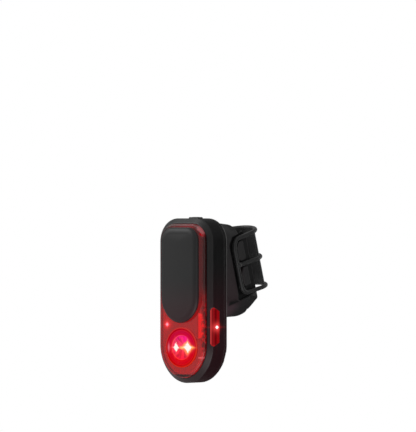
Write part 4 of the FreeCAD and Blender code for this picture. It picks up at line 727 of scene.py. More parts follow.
def optic_finish(sizes):
    """Red optic whose lamp light is painted as emission: colours by rings of the radius, two white
    lobes of painted glare, and a clear coat.
    """
    material, shader = new_material(
        "optic_glow", Coat_Weight=0.02, Coat_Roughness=0.06, Emission_Strength=1.0,
        Specular_IOR_Level=0.02,
    )
    spot = place(shader.tree)
    x, _, z = in_millimetres(spot)
    up = z - sizes.optic_height / MM
    radius = distance(x, up)
    part = radius / (sizes.optic_radius / MM)
    ringed = colours(
        part, (0.0, 0.95, 0.10, 0.12), (1.0, 0.50, 0.05, 0.02), (0.40, 0.95, 0.05, 0.10),
        (0.52, 0.85, 0.03, 0.12), (0.60, 0.80, 0.02, 0.10), (0.615, 0.95, 0.12, 0.09),
        (0.64, 0.62, 0.002, 0.02), (0.76, 0.52, 0.001, 0.025), (0.84, 0.50, 0.001, 0.02),
        (0.87, 0.62, 0.01, 0.02), (0.90, 0.40, 0.0, 0.006), (0.955, 0.42, 0.002, 0.006),
        (0.975, 0.60, 0.05, 0.015),
    )
    # Spokes of painted light: noise of the direction from the middle, which changes little with the
    # radius.
    ahead = add(shader.tree, "CombineXYZ", (x / radius, up / radius, part))
    spokes = noise(ahead, 3.4, 3.0).ramp(0.36, 0.66, 0.55, 1.3)
    spokes = (spokes - 1.0) * part.ramp(0.66, 0.5) + 1.0
    # Painted light: plain red below, crimson above, and magenta at the upper right of the bowl.
    cool = mix(up.ramp(-9.0, 9.0), (1.0, 0.3, 0.25), (0.85, 0.5, 1.4))
    shaded = vector("MULTIPLY", ringed, scaled(cool, spokes))
    # The white lobes, painted glare of the lamp, are concave stars in places that noise pulls
    # about, the right one larger.
    moved = (vector("ADD", spot, (shift,) * 3) for shift in (0.0, 0.05))
    pulls = [noise(point, 380.0, 3.0) - 0.5 for point in moved]
    pulled_x, pulled_up = pulls[0] * 4.0 + x, pulls[1] * 3.6 + up

    def concave(middle_x, half_x, half_up):
        """Falls from one in the middle, with level lines that curve inwards between four tips."""
        across, rise = (pulled_x - middle_x) / half_x, pulled_up / half_up
        return fall(abs(across) ** 0.8 + abs(rise) ** 0.8)

    right = concave(4.7, 5.4, 3.7)
    both = larger(right, concave(-5.3, 3.2, 4.1))
    bridge, dot = star(x * 0.3, up, 0.7), star(x - 9.4, up, 0.55, 0.2)
    # Painted light of the lamp through the optic: the ring colours, with painted glow spots, lobes
    # and glints laid over them.
    shader["Emission Color"] = layered(
        shaded,
        (star(x - 3.0, up - 4.2, 2.2)["Core"], (0.85, 0.0, 0.25)),
        (star(x + 10.6, up * 0.3, 0.7)["Core"] * 0.45, (0.75, 0.35, 0.45)),
        (both.ramp(0.12, 0.36) * 0.35, (1.0, 0.10, 0.10)),
        (right.ramp(0.2, 0.42) * 0.85, (1.0, 0.42, 0.10)),
        (bridge["Core"] * 0.8, (1.0, 0.62, 0.2)),
        (dot["Core"] * 0.8, (1.0, 0.45, 0.08)),
        (both.ramp(0.36, 0.5), (1.0, 0.93, 0.86)),
    )
    shader["Base Color"] = mix(0.85, ringed, (0.05, 0.0, 0.0))
    shader["Roughness"] = noise(spot, 900.0, 1.0).ramp(0.3, 0.7, 0.1, 0.22)
    return material


class LensOperator(bpy.types.Operator):
    """Red lens, the plate behind it and the side windows"""

    bl_idname = "tail_light.lens"
    bl_label = "Lens, plate and side windows"

    def execute(self, context):
        dress(lens_finish(context.scene.tail_light_finishes), "front_lens")
        dress(plate_finish(), "reflector_plate")
        windows = window_finish(context.scene.tail_light_sizes)
        dress(windows, "side_window_left", "side_window_right")
        return {"FINISHED"}


def lens_finish(finishes):
    """Clear red plastic with painted light: its thick edge glows faintly where the lamps light it.

    The rim is rougher than the face, and the upper rim's facets carry painted highlights and shade
    by their places.
    """
    material, shader = new_material(
        "lens_red", Transmission_Weight=1.0, IOR=1.49, Emission_Strength=1.0,
        Specular_IOR_Level=0.18,
    )
    spot = place(shader.tree)
    x, _, z = in_millimetres(spot)
    inwards = placed(shader.tree, edge_distance, X=x, Z=z)["Distance"]
    rim, lit = inwards.ramp(5.4, 4.8), z.ramp(-14.0, -34.0)
    face, unlit = 1.0 - rim, 1.0 - lit
    # Painted glow: below, the rim glows, most at its outer edge. At the right side, painted shade
    # makes it a dark broken red.
    side = x.ramp(15.6, 16.6) * z.ramp(-58.5, -57.0) * lit
    broken = noise(spot, 420.0).ramp(0.38, 0.66)
    # The upper rim's painted light: brown at its left, redder towards the right, then a painted
    # dark facet and a painted pale facet.
    top = z.ramp(21.6, 22.6) * z.ramp(24.6, 24.0) * x.ramp(15.0, 14.0)
    upper = mix(x.ramp(-12.0, 8.0), (0.034, 0.016, 0.014), (0.085, 0.010, 0.013))
    # Facets of painted highlight, the last a patch of painted shade: middle X and Z, half width and
    # height, slant and colour.
    facets = []
    for middle_x, middle_z, half_x, half_z, slant, colour in (
        (14.9, 20.6, 2.6, 1.5, 0.55, (0.16, 0.055, 0.06)),
        (16.0, 17.4, 1.4, 0.8, 0.55, (0.2, 0.0, 0.004)),
        (15.9, -61.6, 2.2, 0.45, 0.0, (0.24, 0.08, 0.09)),
        (14.4, -43.0, 1.9, 8.2, 0.0, (0.0, 0.0, 0.0)),
    ):
        across = x - middle_x
        tilted = across * slant + (z - middle_z)
        inside = abs(tilted).ramp(half_z + 0.35, half_z - 0.35)
        facets.append((abs(across).ramp(half_x + 0.5, half_x - 0.5) * inside, colour))
    # Painted shade: a dark slit at the bottom, below the plate's end.
    slit = z.ramp(-72.3, -72.8) * z.ramp(-74.4, -74.0) * abs(x - 1.1).ramp(9.0, 6.0)
    # Painted reflection and glow: a faint grey on the face, more of it above where the lamps don't
    # reach, and a faint red on the rim.
    shader["Emission Color"] = layered(
        mix(face, (0.004, 0.0, 0.0), (0.008, 0.007, 0.0075)),
        (face * unlit, (0.026, 0.020, 0.020)),
        (rim * inwards.ramp(3.5, 4.0) * lit, (0.11, 0.012, 0.014)),
        (inwards.ramp(3.6, 3.2) * lit, (0.36, 0.004, 0.006)),
        (side, mix(broken, (0.02, 0.0, 0.0005), (0.12, 0.0, 0.001))),
        (top, mix(x.ramp(8.6, 9.4) * x.ramp(14.4, 13.6), upper, (0.05, 0.0, 0.001))),
        *facets,
        (slit, (0.014, 0.0, 0.0)),
    )
    cloud = noise(spot, 120.0)
    # Painted shade in the colour: darker at the upper rim, where the lamps don't reach, in the slit
    # and at the right side.
    shader["Base Color"] = layered(
        mix(cloud, finishes.lens, tuple(0.8 * value for value in finishes.lens)),
        (rim * unlit, (0.16, 0.004, 0.005)),
        (larger(slit, side * (1.0 - broken) * 0.85), (0.03, 0.0, 0.0)),
    )
    shader["Roughness"] = rim.ramp(0.0, 1.0, cloud.ramp(0.2, 0.8, 0.05, 0.1), 0.4)
    return material


def plate_finish():
    """Reflector plate, its lamps' light painted as emission: dark behind the cover, lit below it,
    with a brighter strip at the right.
    """
    material, shader = new_material("plate_red", Emission_Strength=1.0)
    spot = place(shader.tree)
    x, _, z = in_millimetres(spot)
    lit = z.ramp(-12.0, -36.0)
    # The strip of painted light lies between two distances from the middle and two ragged heights.
    ragged = z - noise(spot, 500.0, 1.0) * 3.0
    strip = x.ramp(12.6, 12.9) * x.ramp(16.6, 16.2)
    spark = star(x + 13.4, z + 40.5, 0.9, 0.3)
    # Painted light of the lamps: a red glow below the cover, the bright strip, and a painted spark
    # of glare.
    shader["Emission Color"] = layered(
        mix(lit, (0.045, 0.002, 0.002), (0.40, 0.0, 0.0)),
        (strip * (ragged.ramp(-34.0, -35.0) * ragged.ramp(-51.0, -50.4)), (1.1, 0.0, 0.0)),
        (spark["Halo"] * 0.6, (1.8, 0.5, 0.5)),
        (spark["Core"], (4.0, 42.0, 42.0)),
    )
    # Painted shade in the colour as well: darker behind the cover, paler where the lamps light it.
    shader["Base Color"] = mix(lit, (0.06, 0.01, 0.01), (0.25, 0.06, 0.06))
    shader["Roughness"] = noise(spot, 800.0).ramp(0.2, 0.8, 0.25, 0.45)
    return material


def window_finish(sizes):
    """Red windows, their lamps' light painted as emission: bands by the depth behind the lens face,
    and the side lamp's star of painted glare.
    """
    material, shader = new_material(
        "window_red", Coat_Weight=0.08, Coat_Roughness=0.05, Emission_Strength=1.0,
        Specular_IOR_Level=0.15,
    )
    spot = place(shader.tree)
    _, y, z = in_millimetres(spot)
    depth = y - sizes.face / MM
    bands = colours(
        depth.ramp(3.5, 11.2, kind="LINEAR"), (0.0, 0.50, 0.05, 0.05), (1.0, 0.14, 0.001, 0.002),
        (0.07, 0.36, 0.02, 0.022), (0.12, 0.16, 0.001, 0.003), (0.20, 0.09, 0.0, 0.001),
        (0.235, 0.42, 0.012, 0.014), (0.28, 0.30, 0.004, 0.006), (0.33, 0.12, 0.0, 0.002),
        (0.52, 0.09, 0.0, 0.001), (0.65, 0.17, 0.001, 0.002), (0.78, 0.27, 0.001, 0.003),
    )
    spark = star((depth - 8.6) * 0.7, z + 42.0, 0.95, 0.6)
    # Painted light: the bands, the side lamp's star over them, and a red glow towards the windows'
    # upper and lower ends.
    shader["Emission Color"] = layered(
        bands,
        (spark["Halo"] * 0.85, (1.0, 0.07, 0.07)),
        (spark["Core"].ramp(0.2, 0.85), (1.6, 1.5, 1.5)),
        (abs(z + 41.8).ramp(11.0, 12.2) * 0.6, (0.42, 0.01, 0.012)),
    )
    cloud = noise(spot, 300.0)
    shader["Base Color"] = mix(cloud, (0.04, 0.0, 0.001), (0.06, 0.001, 0.001))
    shader["Roughness"] = cloud.ramp(0.2, 0.8, 0.12, 0.2)
    return material


class ShellOperator(bpy.types.Operator):
    """Plastics of the housing, the rear cover and the mount"""

    bl_idname = "tail_light.shells"
    bl_label = "Housing and mount"

    def execute(self, context):
        scene = context.scene
        finishes = scene.tail_light_finishes
        shell = shell_finish(finishes, scene.tail_light_sizes.face / MM)
        dress(shell, "front_housing", "rear_cover")
        mount = mount_finish(finishes, scene.tail_light_strap.lean)
        dress(mount, "mount_body", "twist_socket", "twist_boss")
        return {"FINISHED"}


def shell_finish(finishes, face):
    """Satin black plastic, with painted shade along the joint of housing and rear cover, and
    painted red light from the lamps over its lower part.
    """
    material, shader, grained = moulded(
        "shell_plastic", finishes.shell, 0.32, grain=6000.0, rounding=0.9 * MM,
        Specular_IOR_Level=0.45, Emission_Strength=1.0,
    )
    x, y, z = in_millimetres(place(shader.tree))
    # Painted shade: a dark, matt line where housing and rear cover meet, in place of a groove's
    # shade.
    seam_shade = abs(y - (face + 16.2)).ramp(0.28, 0.12)
    shader["Base Color"] = mix(seam_shade, grained["Colour"], 0.0005)
    shader["Roughness"] = mix(seam_shade, grained["Roughness"], 0.95)
    # The painted red light reaches neither the back nor the recesses there. The side lamps' stars,
    # painted glare, reach over the plastic round the windows.
    inwards = placed(shader.tree, edge_distance, X=x, Z=z)["Distance"]
    hidden = larger(y.ramp(face + 18.0, face + 19.6), inwards.ramp(4.0, 5.0))
    flare = (abs(x) > 19.2) * star(y - (face + 8.6), z + 42.0, 2.6, 1.0)["Core"]
    shader["Emission Color"] = layered(
        mix(z.ramp(2.0, -38.0), 0.0, (0.010, 0.0002, 0.0016)),
        (hidden, 0.0),
        (flare, (0.45, 0.012, 0.014)),
    )
    return material


def mount_finish(finishes, lean):
    """Satin black plastic, with painted shade in the strap slots, painted red light from the lamps
    near the light and a painted highlight low on its belly.
    """
    material, shader, grained = moulded(
        "mount_plastic", finishes.mount, 0.5, grain=6000.0, depth=0.14, rounding=0.7 * MM,
        Specular_IOR_Level=0.4, Emission_Strength=1.0,
    )
    x, y, z = in_millimetres(place(shader.tree))
    along_post = y * -math.sin(lean) + z * math.cos(lean)
    # Painted shade: darker in the strap slots.
    slot_shade = abs(x).ramp(15.6, 14.4) * along_post.ramp(-20.6, -19.6) * y.ramp(-27.0, -25.5)
    shader["Base Color"] = mix(slot_shade, grained["Colour"], 0.002)
    # Painted red light from the lamps, and a painted pinkish highlight low on the belly, with none
    # of it in the slots or further back.
    shader["Emission Color"] = layered(
        mix(z.ramp(12.0, -30.0), 0.0, (0.007, 0.0, 0.0014)),
        (z.ramp(-25.0, -30.0), (0.026, 0.012, 0.016)),
        (larger(slot_shade, y.ramp(-24.0, -10.0)), 0.0),
    )
    return material


class StrapOperator(bpy.types.Operator):
    """Rubber strap: three rungs, two end bars and a thin web, melted into one skin"""

    bl_idname = "tail_light.strap"
    bl_label = "Mounting strap"

    def execute(self, context):
        sizes = context.scene.tail_light_strap
        step, taper = 0.6 * MM, 4 * MM
        upper, middle, lower = (rung_route(sizes, level) for level in (1, 0, -1))
        bars = []
        for side in (1, -1):
            corners = [upper[side][-1], upper[side][0], lower[side][0], lower[side][-1]]
            bars.append(rounded_route(np.array(corners), sizes.corner, 18))
        loops = [upper["loop"], bars[1], lower["loop"][::-1], bars[0][::-1]]
        route = evened(np.concatenate(loops), step, closed_route=True)
        near_bar = np.clip((-route[:, 1] - sizes.bar_front + taper) / taper, 0, 1)
        section = sizes.section + (sizes.bar_section - sizes.section) * near_bar
        border = leaning(swept(route, section, closed_route=True))
        ends = [middle[1][:1], middle["loop"], middle[-1][:1]]
        rung = evened(np.concatenate(ends), step, closed_route=False)
        reach = np.minimum(np.arange(len(rung)), np.arange(len(rung))[::-1]) * step
        swell, swell_reach = 0.5, 0.9 * MM
        flare = 1 + swell * np.exp(-np.clip(reach - sizes.section, 0, None) / swell_reach)
        rung_grid = leaning(swept(rung, sizes.section * flare, closed_route=False))
        strap = skin(
            "mounting_strap_skin", [border], "mount", replaces=("mounting_strap",),
            loop=True,
        )
        others = [grid_mesh("rung", rung_grid), grid_mesh("web", leaning(web_grid(sizes)))]
        melt(strap, others, sizes.voxel)
        rubber = rubber_finish(context.scene.tail_light_finishes.rubber, "strap_rubber", 0.5)
        strap.data.materials.append(rubber)
        return {"FINISHED"}


def rung_route(sizes, level):
    """A rung's loop round the post, and its ends at the bars, in the post's frame.

    The rung lies in a plane that slopes from its height behind the post to its height at the bars.
    The loop is an arc whose two tangents end at the bars.
    """
    lowest = level < 0
    back = level * sizes.pitch - lowest * sizes.drop
    bar = sizes.bar_rise + level * sizes.bar_pitch - lowest * sizes.bar_drop
    slope = (back - bar) / (sizes.loop + sizes.bar_front)
    reach = sizes.bar_front * math.hypot(1, slope)
    forward = np.array([0.0, 1.0, slope]) / math.hypot(1, slope)
    centre = np.array([0.0, 0.0, back - slope * sizes.loop])
    far = math.hypot(sizes.bar_place, reach)
    touch = math.atan2(-reach, sizes.bar_place) + math.acos(sizes.loop / far)
    angle = np.linspace(touch, math.pi - touch, 60)[:, None]
    sideways = np.array([1.0, 0.0, 0.0])
    loop = centre + sizes.loop * (np.cos(angle) * sideways + np.sin(angle) * forward)
    found = {"loop": loop}
    for side in (1, -1):
        end = centre + side * sizes.bar_place * sideways - forward * reach
        found[side] = np.array([end, loop[0] if side > 0 else loop[-1]])
    return found


def rounded_route(corners, radius, steps):
    """Points along straight runs whose inner corners are arcs that touch both runs."""
    arcs = [corners[:1]]
    for before, corner, after in zip(corners, corners[1:], corners[2:]):
        back = (before - corner) / np.linalg.norm(before - corner)
        ahead = (after - corner) / np.linalg.norm(after - corner)
        half = math.acos(np.clip(back @ ahead, -1, 1)) / 2
        start = corner + back * radius / math.tan(half)
        bisector = (back + ahead) / np.linalg.norm(back + ahead)
        centre = corner + bisector * radius / math.sin(half)
        turn = np.linspace(0, math.pi - 2 * half, steps)[:, None]
        arcs.append(centre + np.cos(turn) * (start - centre) - radius * np.sin(turn) * back)
    return np.concatenate([*arcs, corners[-1:]])


def evened(points, step, closed_route):
    """The same line with points at even steps, each averaged with its neighbours."""
    if closed_route:
        points = np.concatenate([points, points[:1]])
    gaps = np.linalg.norm(np.diff(points, axis=0), axis=1)
    points = points[np.concatenate([[True], gaps > 1e-7])]
    along = np.concatenate([[0], np.cumsum(np.linalg.norm(np.diff(points, axis=0), axis=1))])
    spots = np.linspace(0, along[-1], int(along[-1] / step), endpoint=not closed_route)
    even = np.stack([np.interp(spots, along, points[:, axis]) for axis in range(3)], 1)
    if closed_route:
        before, after = even[-2:], even[:2]
    else:
        before, after = 2 * even[:1] - even[2:0:-1], 2 * even[-1:] - even[-2:-4:-1]
    padded = np.concatenate([before, even, after])
    weights = (0.1, 0.2, 0.4, 0.2, 0.1)
    return sum(weight * padded[index : index + len(even)] for index, weight in enumerate(weights))


def swept(route, radius, closed_route, points=18):
    """Rows of circles across a route. Each circle's first axis points away from the post."""
    if closed_route:
        ahead = np.roll(route, -1, 0) - np.roll(route, 1, 0)
    else:
        ahead = np.gradient(route, axis=0)
    ahead /= np.linalg.norm(ahead, axis=1, keepdims=True)
    away = route * [1.0, 1.0, 0.0]
    away -= (away * ahead).sum(1, keepdims=True) * ahead
    away /= np.linalg.norm(away, axis=1, keepdims=True)
    angle = np.linspace(0, 2 * math.pi, points, endpoint=False)[None, :, None]
    circle = np.cos(angle) * away[:, None] + np.sin(angle) * np.cross(ahead, away)[:, None]
    grid = route[:, None] + radius[:, None, None] * circle
    if not closed_route:
        ends = [np.repeat(route[index][None, None], points, 1) for index in (0, -1)]
        grid = np.concatenate([ends[0], grid, ends[1]])
    return grid


def web_grid(sizes):
    """Thin wall behind the post: part of a ring, with its two long edges waisted between rungs."""
    height = np.linspace(-sizes.pitch - sizes.drop, sizes.pitch, 61)[:, None]
    half_waist = 0.045
    waist = half_waist * (1 - np.cos(2 * math.pi * height / sizes.pitch))
    angle = (sizes.web_angle - waist) * np.linspace(-1, 1, 41)[None]
    inner = np.full_like(angle, sizes.web)
    radius = np.concatenate([inner, inner + sizes.web_thickness], 1)
    turn = np.concatenate([angle, angle[:, ::-1]], 1)
    tall = np.broadcast_to(height, turn.shape)
    return lidded(np.stack([radius * np.sin(turn), radius * np.cos(turn), tall], -1))


def melt(piece, meshes, voxel):
    """Joins closed meshes to a piece's, as one skin of even cells with soft inner corners."""
    old = closed([piece.data, *meshes])
    cells = piece.modifiers.new("cells", "REMESH")
    cells.mode = "VOXEL"
    cells.voxel_size = voxel
    cells.use_smooth_shade = True
    soft = piece.modifiers.new("soft", "SMOOTH")
    soft.factor = 0.5
    soft.iterations = 6
    evaluated = piece.evaluated_get(bpy.context.evaluated_depsgraph_get())
    result = bpy.data.meshes.new_from_object(evaluated)
    result.name = old.name + "_melted"
    piece.modifiers.clear()
    piece.data = result
    bpy.data.meshes.remove(old)
    result.shade_smooth()


class PadOperator(bpy.types.Operator):
    """Rubber pad, with grip ribs on the face that holds the post"""

    bl_idname = "tail_light.pad"
    bl_label = "Post pad"

    def execute(self, context):
        sizes = context.scene.tail_light_strap
        rubber = rubber_finish(context.scene.tail_light_finishes.pad, "pad_rubber", 0.42)
        dress(rubber, "post_pad")
        # Ribs: the radius shrinks by a rounded wave of the height, fading out at the pad's borders.
        post, border, tip_centre, tip_radius = 13.6 * MM, 1.4 * MM, 19.2 * MM, 13.8 * MM
        top_end, shoulder, slope = 28.5 * MM, 13.0 * MM, 8.9 / 9.7
        columns = 57
        angle = np.radians(np.linspace(-70, 70, columns))
        top = top_end - np.maximum((shoulder - post * np.cos(angle)) * slope, 0.0) - border
        low = border - tip_centre - np.sqrt(tip_radius**2 - (post * np.sin(angle)) ** 2)
        part = np.linspace(0, 1, 141)[:, None]
        height = low + (top - low) * part
        wave = (0.5 + 0.5 * np.cos(2 * math.pi * height / sizes.grip_pitch)) ** 0.7
        across = 1 - np.abs(np.linspace(-1, 1, columns))
        end_fade, side_fade, clearance, root = 0.03, 0.06, 0.02 * MM, 0.3 * MM
        fade = np.clip(np.minimum(part, 1 - part) / end_fade, 0, 1)
        fade = fade * np.clip(across / side_fade, 0, 1)
        inner = post + clearance - sizes.grip_rise * wave * fade

        def sheet(radius):
            return np.stack([radius * np.sin(angle), -radius * np.cos(angle), height], -1)

        outer = sheet(np.full_like(inner, post + root))[:, ::-1]
        grid = lidded(np.concatenate([sheet(inner), outer], 1))
        skin("post_pad_grip", [leaning(grid)], "mount", rubber)
        return {"FINISHED"}


class ButtonOperator(bpy.types.Operator):
    """Power button with rounded edges, and the sloped rim round it"""

    bl_idname = "tail_light.button"
    bl_label = "Power button"

    def execute(self, context):
        # Heights run from the stem's foot to the cap's top, in millimetres over the origin.
        middle = [0.0, context.scene.tail_light_sizes.face + 14.0 * MM, 0.0]
        stem_foot, flange, flange_top, cap_foot, cap_side = 23.95, 25.05, 25.9, 26.6, 28.4
        edge_start, edge, half_ridge = 28.45, 0.4, 1.4 * MM
        cap_border = rounded_box(2.75 * MM, 1.5 * MM, 0.9 * MM)
        flange_border = rounded_box(3.65 * MM, 1.5 * MM, 0.5 * MM)

        def wall(border, *heights):
            return rings(border, np.array([(0.0, height) for height in heights]) * MM)

        side = rings(cap_border, rounded(edge, edge_start, edge, 7) * MM)
        stem = wall(cap_border, stem_foot, flange)
        grid = np.concatenate(
            [
                drawn_in(stem[0], -half_ridge, half_ridge, 2, across=1)[::-1], stem,
                wall(flange_border, flange, flange_top),
                wall(cap_border, flange_top, cap_foot, cap_side),
                side, drawn_in(side[-1], -half_ridge, half_ridge, 6, rise=0.08 * MM, across=1),
            ]
        )
        rubber = rubber_finish(context.scene.tail_light_finishes.rubber, "button_rubber", 0.5)
        skin(
            "power_button_cap", [grid + middle], "button", rubber,
            replaces=("power_button",), sharp=40.0,
        )
        # Rim: a ring whose outer side slopes from the housing's top up to the collar's edge.
        profile = [
            (0.0, 27.8), (0.05, 28.0), (0.45, 28.72), (0.6, 28.8), (1.15, 28.8), (1.25, 28.7),
            (1.25, 27.8),
        ]
        rim = rings(rounded_box(4.6 * MM, 2.45 * MM, 1.0 * MM), np.array(profile) * MM)
        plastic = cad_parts["front_housing"].data.materials[0]
        skin(
            "button_rim", [rim + middle], "light", plastic, loop=True, sharp=40.0
        )
        return {"FINISHED"}


class PortOperator(bpy.types.Operator):
    """Rubber port flap with rounded edges, grip bars and its tongue"""

    bl_idname = "tail_light.port"
    bl_label = "Port flap"

    def execute(self, context):
        low, high = (np.array(corner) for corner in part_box("port_cover"))
        middle, half = (low + high) / 2, (high - low) / 2
        half_x, half_z = half[0], half[2]
        thick, edge, ridge = 1.0 * MM, 0.3 * MM, half_x - 3 * MM
        profile = np.concatenate([[(0.0, 0.0)], rounded(edge, thick - edge, edge, 6)])
        side = rings(rounded_box(half_x, half_z, 1.2 * MM), profile)
        face = drawn_in(side[-1], -ridge, ridge, 14, across=1)
        # Grip bars near the free end: a wave of X on the outer face, faded towards the edges.
        x, z = face[..., 0], face[..., 1]
        bar_depth, bar_pitch, near = 0.16 * MM, 1.5 * MM, 1.0
        for inside, width in (
            (x - half_x + 6.5 * MM, 1.0 * MM), (half_x - 1.6 * MM - x, 0.8 * MM),
            (half_z - 1.4 * MM - np.abs(z), 0.6 * MM),
        ):
            near = near * np.clip(inside / width, 0, 1)
        face[..., 2] -= bar_depth * near * (0.5 + 0.5 * np.sin(2 * math.pi * x / bar_pitch))
        under = drawn_in(side[0], -ridge, ridge, 3, across=1)
        plate = np.concatenate([under[::-1], side, face])
        half_tongue = 2.8 * MM
        border = rounded_box(3.7 * MM, 0.9 * MM, 0.85 * MM)
        tongue = rings(border, np.array([(0.15, -1.4), (0.0, -1.2), (0.0, 0.3)]) * MM)
        tip, root = (
            drawn_in(tongue[row], -half_tongue, half_tongue, 2, across=1) for row in (0, -1)
        )
        tongue = np.concatenate([tip[::-1], tongue, root])
        back = high[1] - thick
        grids = [
            facing_back(plate, x=middle[0], y=back, z=middle[2]),
            facing_back(tongue, y=back, z=middle[2]),
        ]
        rubber = rubber_finish(context.scene.tail_light_finishes.rubber, "flap_rubber", 0.55)
        skin(
            "port_flap", grids, "flap", rubber, replaces=("port_cover",), sharp=40.0
        )
        return {"FINISHED"}


def screw_grid(shank, head, start, seat, top):
    """A screw along its axis: point, shank, head with a rounded rim, and a six-lobed recess.

    Sizes are in millimetres. The recess's radius swings with the cosine of six times the angle.
    """
    profile = [
        (0.0, start), (shank * 0.6, start), (shank, start + 0.5), (shank, seat), (head, seat),
        (head, top - 0.35), (head - 0.1, top - 0.1), (head - 0.35, top),
    ]
    points = 48
    angle = np.linspace(0, 2 * math.pi, points, endpoint=False)
    lobes = head * 0.42 * (1 + 0.16 * np.cos(6 * angle))
    factor, depth = np.array([(1.0, 0.0), (0.92, 0.08), (0.9, 0.55), (0.0, 0.62)]).T[..., None]
    radius, height = factor * lobes, top - depth * np.ones(points)
    recess = np.stack([radius * np.cos(angle), radius * np.sin(angle), height], -1)
    return np.concatenate([turned(profile, points), recess]) * MM


class ScrewOperator(bpy.types.Operator):
    """Steel screws with six-lobed recesses"""

    bl_idname = "tail_light.screws"
    bl_label = "Screws"

    def execute(self, context):
        sizes = context.scene.tail_light_sizes
        face = sizes.face / MM
        back = face + sizes.depth / MM
        steel = metal(
            "screw_steel", 900.0, 2.0, (0.30, 0.30, 0.31), (0.42, 0.41, 0.40), 0.24, 0.4,
            relief=(6000.0, 2.0, 0.15, 0.02),
        )
        reach, turn = 15.7, math.radians(52.8)
        low_x, low_z = reach * math.cos(turn), -58.7 - reach * math.sin(turn)
        corners = [(-18.0, 14.0), (18.0, 14.0), (-low_x, low_z), (low_x, low_z)]
        # Name, CAD node, body, places as X and Z, and shape.
        for name, node, body, spots, shape in (
            ("housing_screw_set", "housing_screws", "light", corners,
             screw_grid(0.95, 1.9, face + 9.0, back - 1.3, back - 0.15)),
            ("twist_screw_set", "twist_boss_screws", "light", [(-5.5, -5.0), (5.5, -5.0)],
             screw_grid(1.0, 1.8, back - 1.6, back + 2.75, back + 3.65)),
            ("lamp_screw_set", "lamp_board_screws", "light", [(-10.0, -45.5), (10.0, -45.5)],
             screw_grid(0.8, 1.5, face + 5.8, face + 8.2, face + 9.1)),
            ("socket_screw_set", "socket_screws", "mount",
             [(-7.0, -5.0), (7.0, -5.0), (0.0, 2.0), (0.0, -12.0)],
             screw_grid(1.0, 1.8, 0.0, 6.5, 7.3)),
        ):
            start = 0.0
            if body == "mount":
                # The socket's screws are driven from the front, so they are turned round.
                shape, start = shape * [1.0, 1.0, -1.0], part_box(node)[1][1]
            grids = [facing_back(shape, x=x * MM, y=start, z=z * MM) for x, z in spots]
            skin(name, grids, body, steel, replaces=(node,), sharp=30.0)
        return {"FINISHED"}


class InsideOperator(bpy.types.Operator):
    """Finishes of the boards, chips, battery, lamps and the other inner pieces"""

    bl_idname = "tail_light.inside"
    bl_label = "Inner pieces"

    def execute(self, context):
        finishes = context.scene.tail_light_finishes
        dress(
            board_finish(finishes), "main_board", "lamp_board", "radar_board", "switch_board",
            "side_board_left", "side_board_right",
        )
        # Name, colour, roughness, grain per metre, its depth, drift and nodes.
        for name, colour, roughness, grain, depth, drift, nodes in (
            ("chip_epoxy", (0.012, 0.012, 0.013), 0.45, 9000.0, 0.2, 0.3,
             ("board_chips", "radar_chip", "switch_body", "inner_frame", "board_connector")),
            ("pale_plastic", (0.6, 0.58, 0.52), 0.4, 5000.0, 0.08, 0.1,
             ("battery_plug", "switch_plunger")),
            ("film_orange", (0.55, 0.2, 0.03), 0.3, 2500.0, 0.1, 0.3, ("flat_cable",)),
            ("foam_grey", (0.05, 0.05, 0.055), 0.9, 1800.0, 0.8, 0.3, ("battery_foam",)),
            ("lead_red", (0.5, 0.02, 0.02), 0.4, 3000.0, 0.1, 0.3, ("battery_leads",)),
            ("seal_rubber", (0.02, 0.02, 0.02), 0.6, 4000.0, 0.2, 0.3, ("housing_seal",)),
        ):
            dress(moulded(name, colour, roughness, grain, depth, drift)[0], *nodes)
        foil = metal(
            "battery_foil", 220.0, 4.0, (0.55, 0.56, 0.58), (0.68, 0.68, 0.69), 0.3, 0.45,
            relief=(220.0, 4.0, 0.3, 0.3),
        )
        dress(foil, "battery_cell")
        tin = metal("tinned_steel", 500.0, 3.0, (0.5, 0.5, 0.5), (0.64, 0.63, 0.61), 0.22, 0.36)
        dress(tin, "radar_shield", "charging_socket", "detent_springs")
        lamp, shader = new_material("lamp_phosphor", Emission_Strength=6.0)
        speckle = noise(place(shader.tree), 4000.0, 1.0)
        shader["Emission Color"] = mix(speckle, finishes.lamp, (1.0, 0.75, 0.6))
        shader["Base Color"] = mix(speckle, (0.8, 0.6, 0.2), (0.9, 0.7, 0.3))
        dress(lamp, "main_lamp", "side_lamp_left", "side_lamp_right")
        return {"FINISHED"}


def board_finish(finishes):
    """Circuit board: lacquer, paler over its tracks, with bare tinned pads."""
    material, shader = new_material("board_lacquer")
    track = tuple(min(1.0, value * 2.2 + 0.02) for value in finishes.mask)
    tracks = placed(shader.tree, board_tracks, Lacquer=finishes.mask, Track=track)
    shader["Base Color"] = tracks["Colour"]
    shader["Metallic"] = tracks["Metal"]
    shader["Roughness"] = 0.4 - tracks["Metal"] * 0.12
    shader["Normal"] = bump(tracks["Height"], 0.4, 0.04 * MM)
    return material


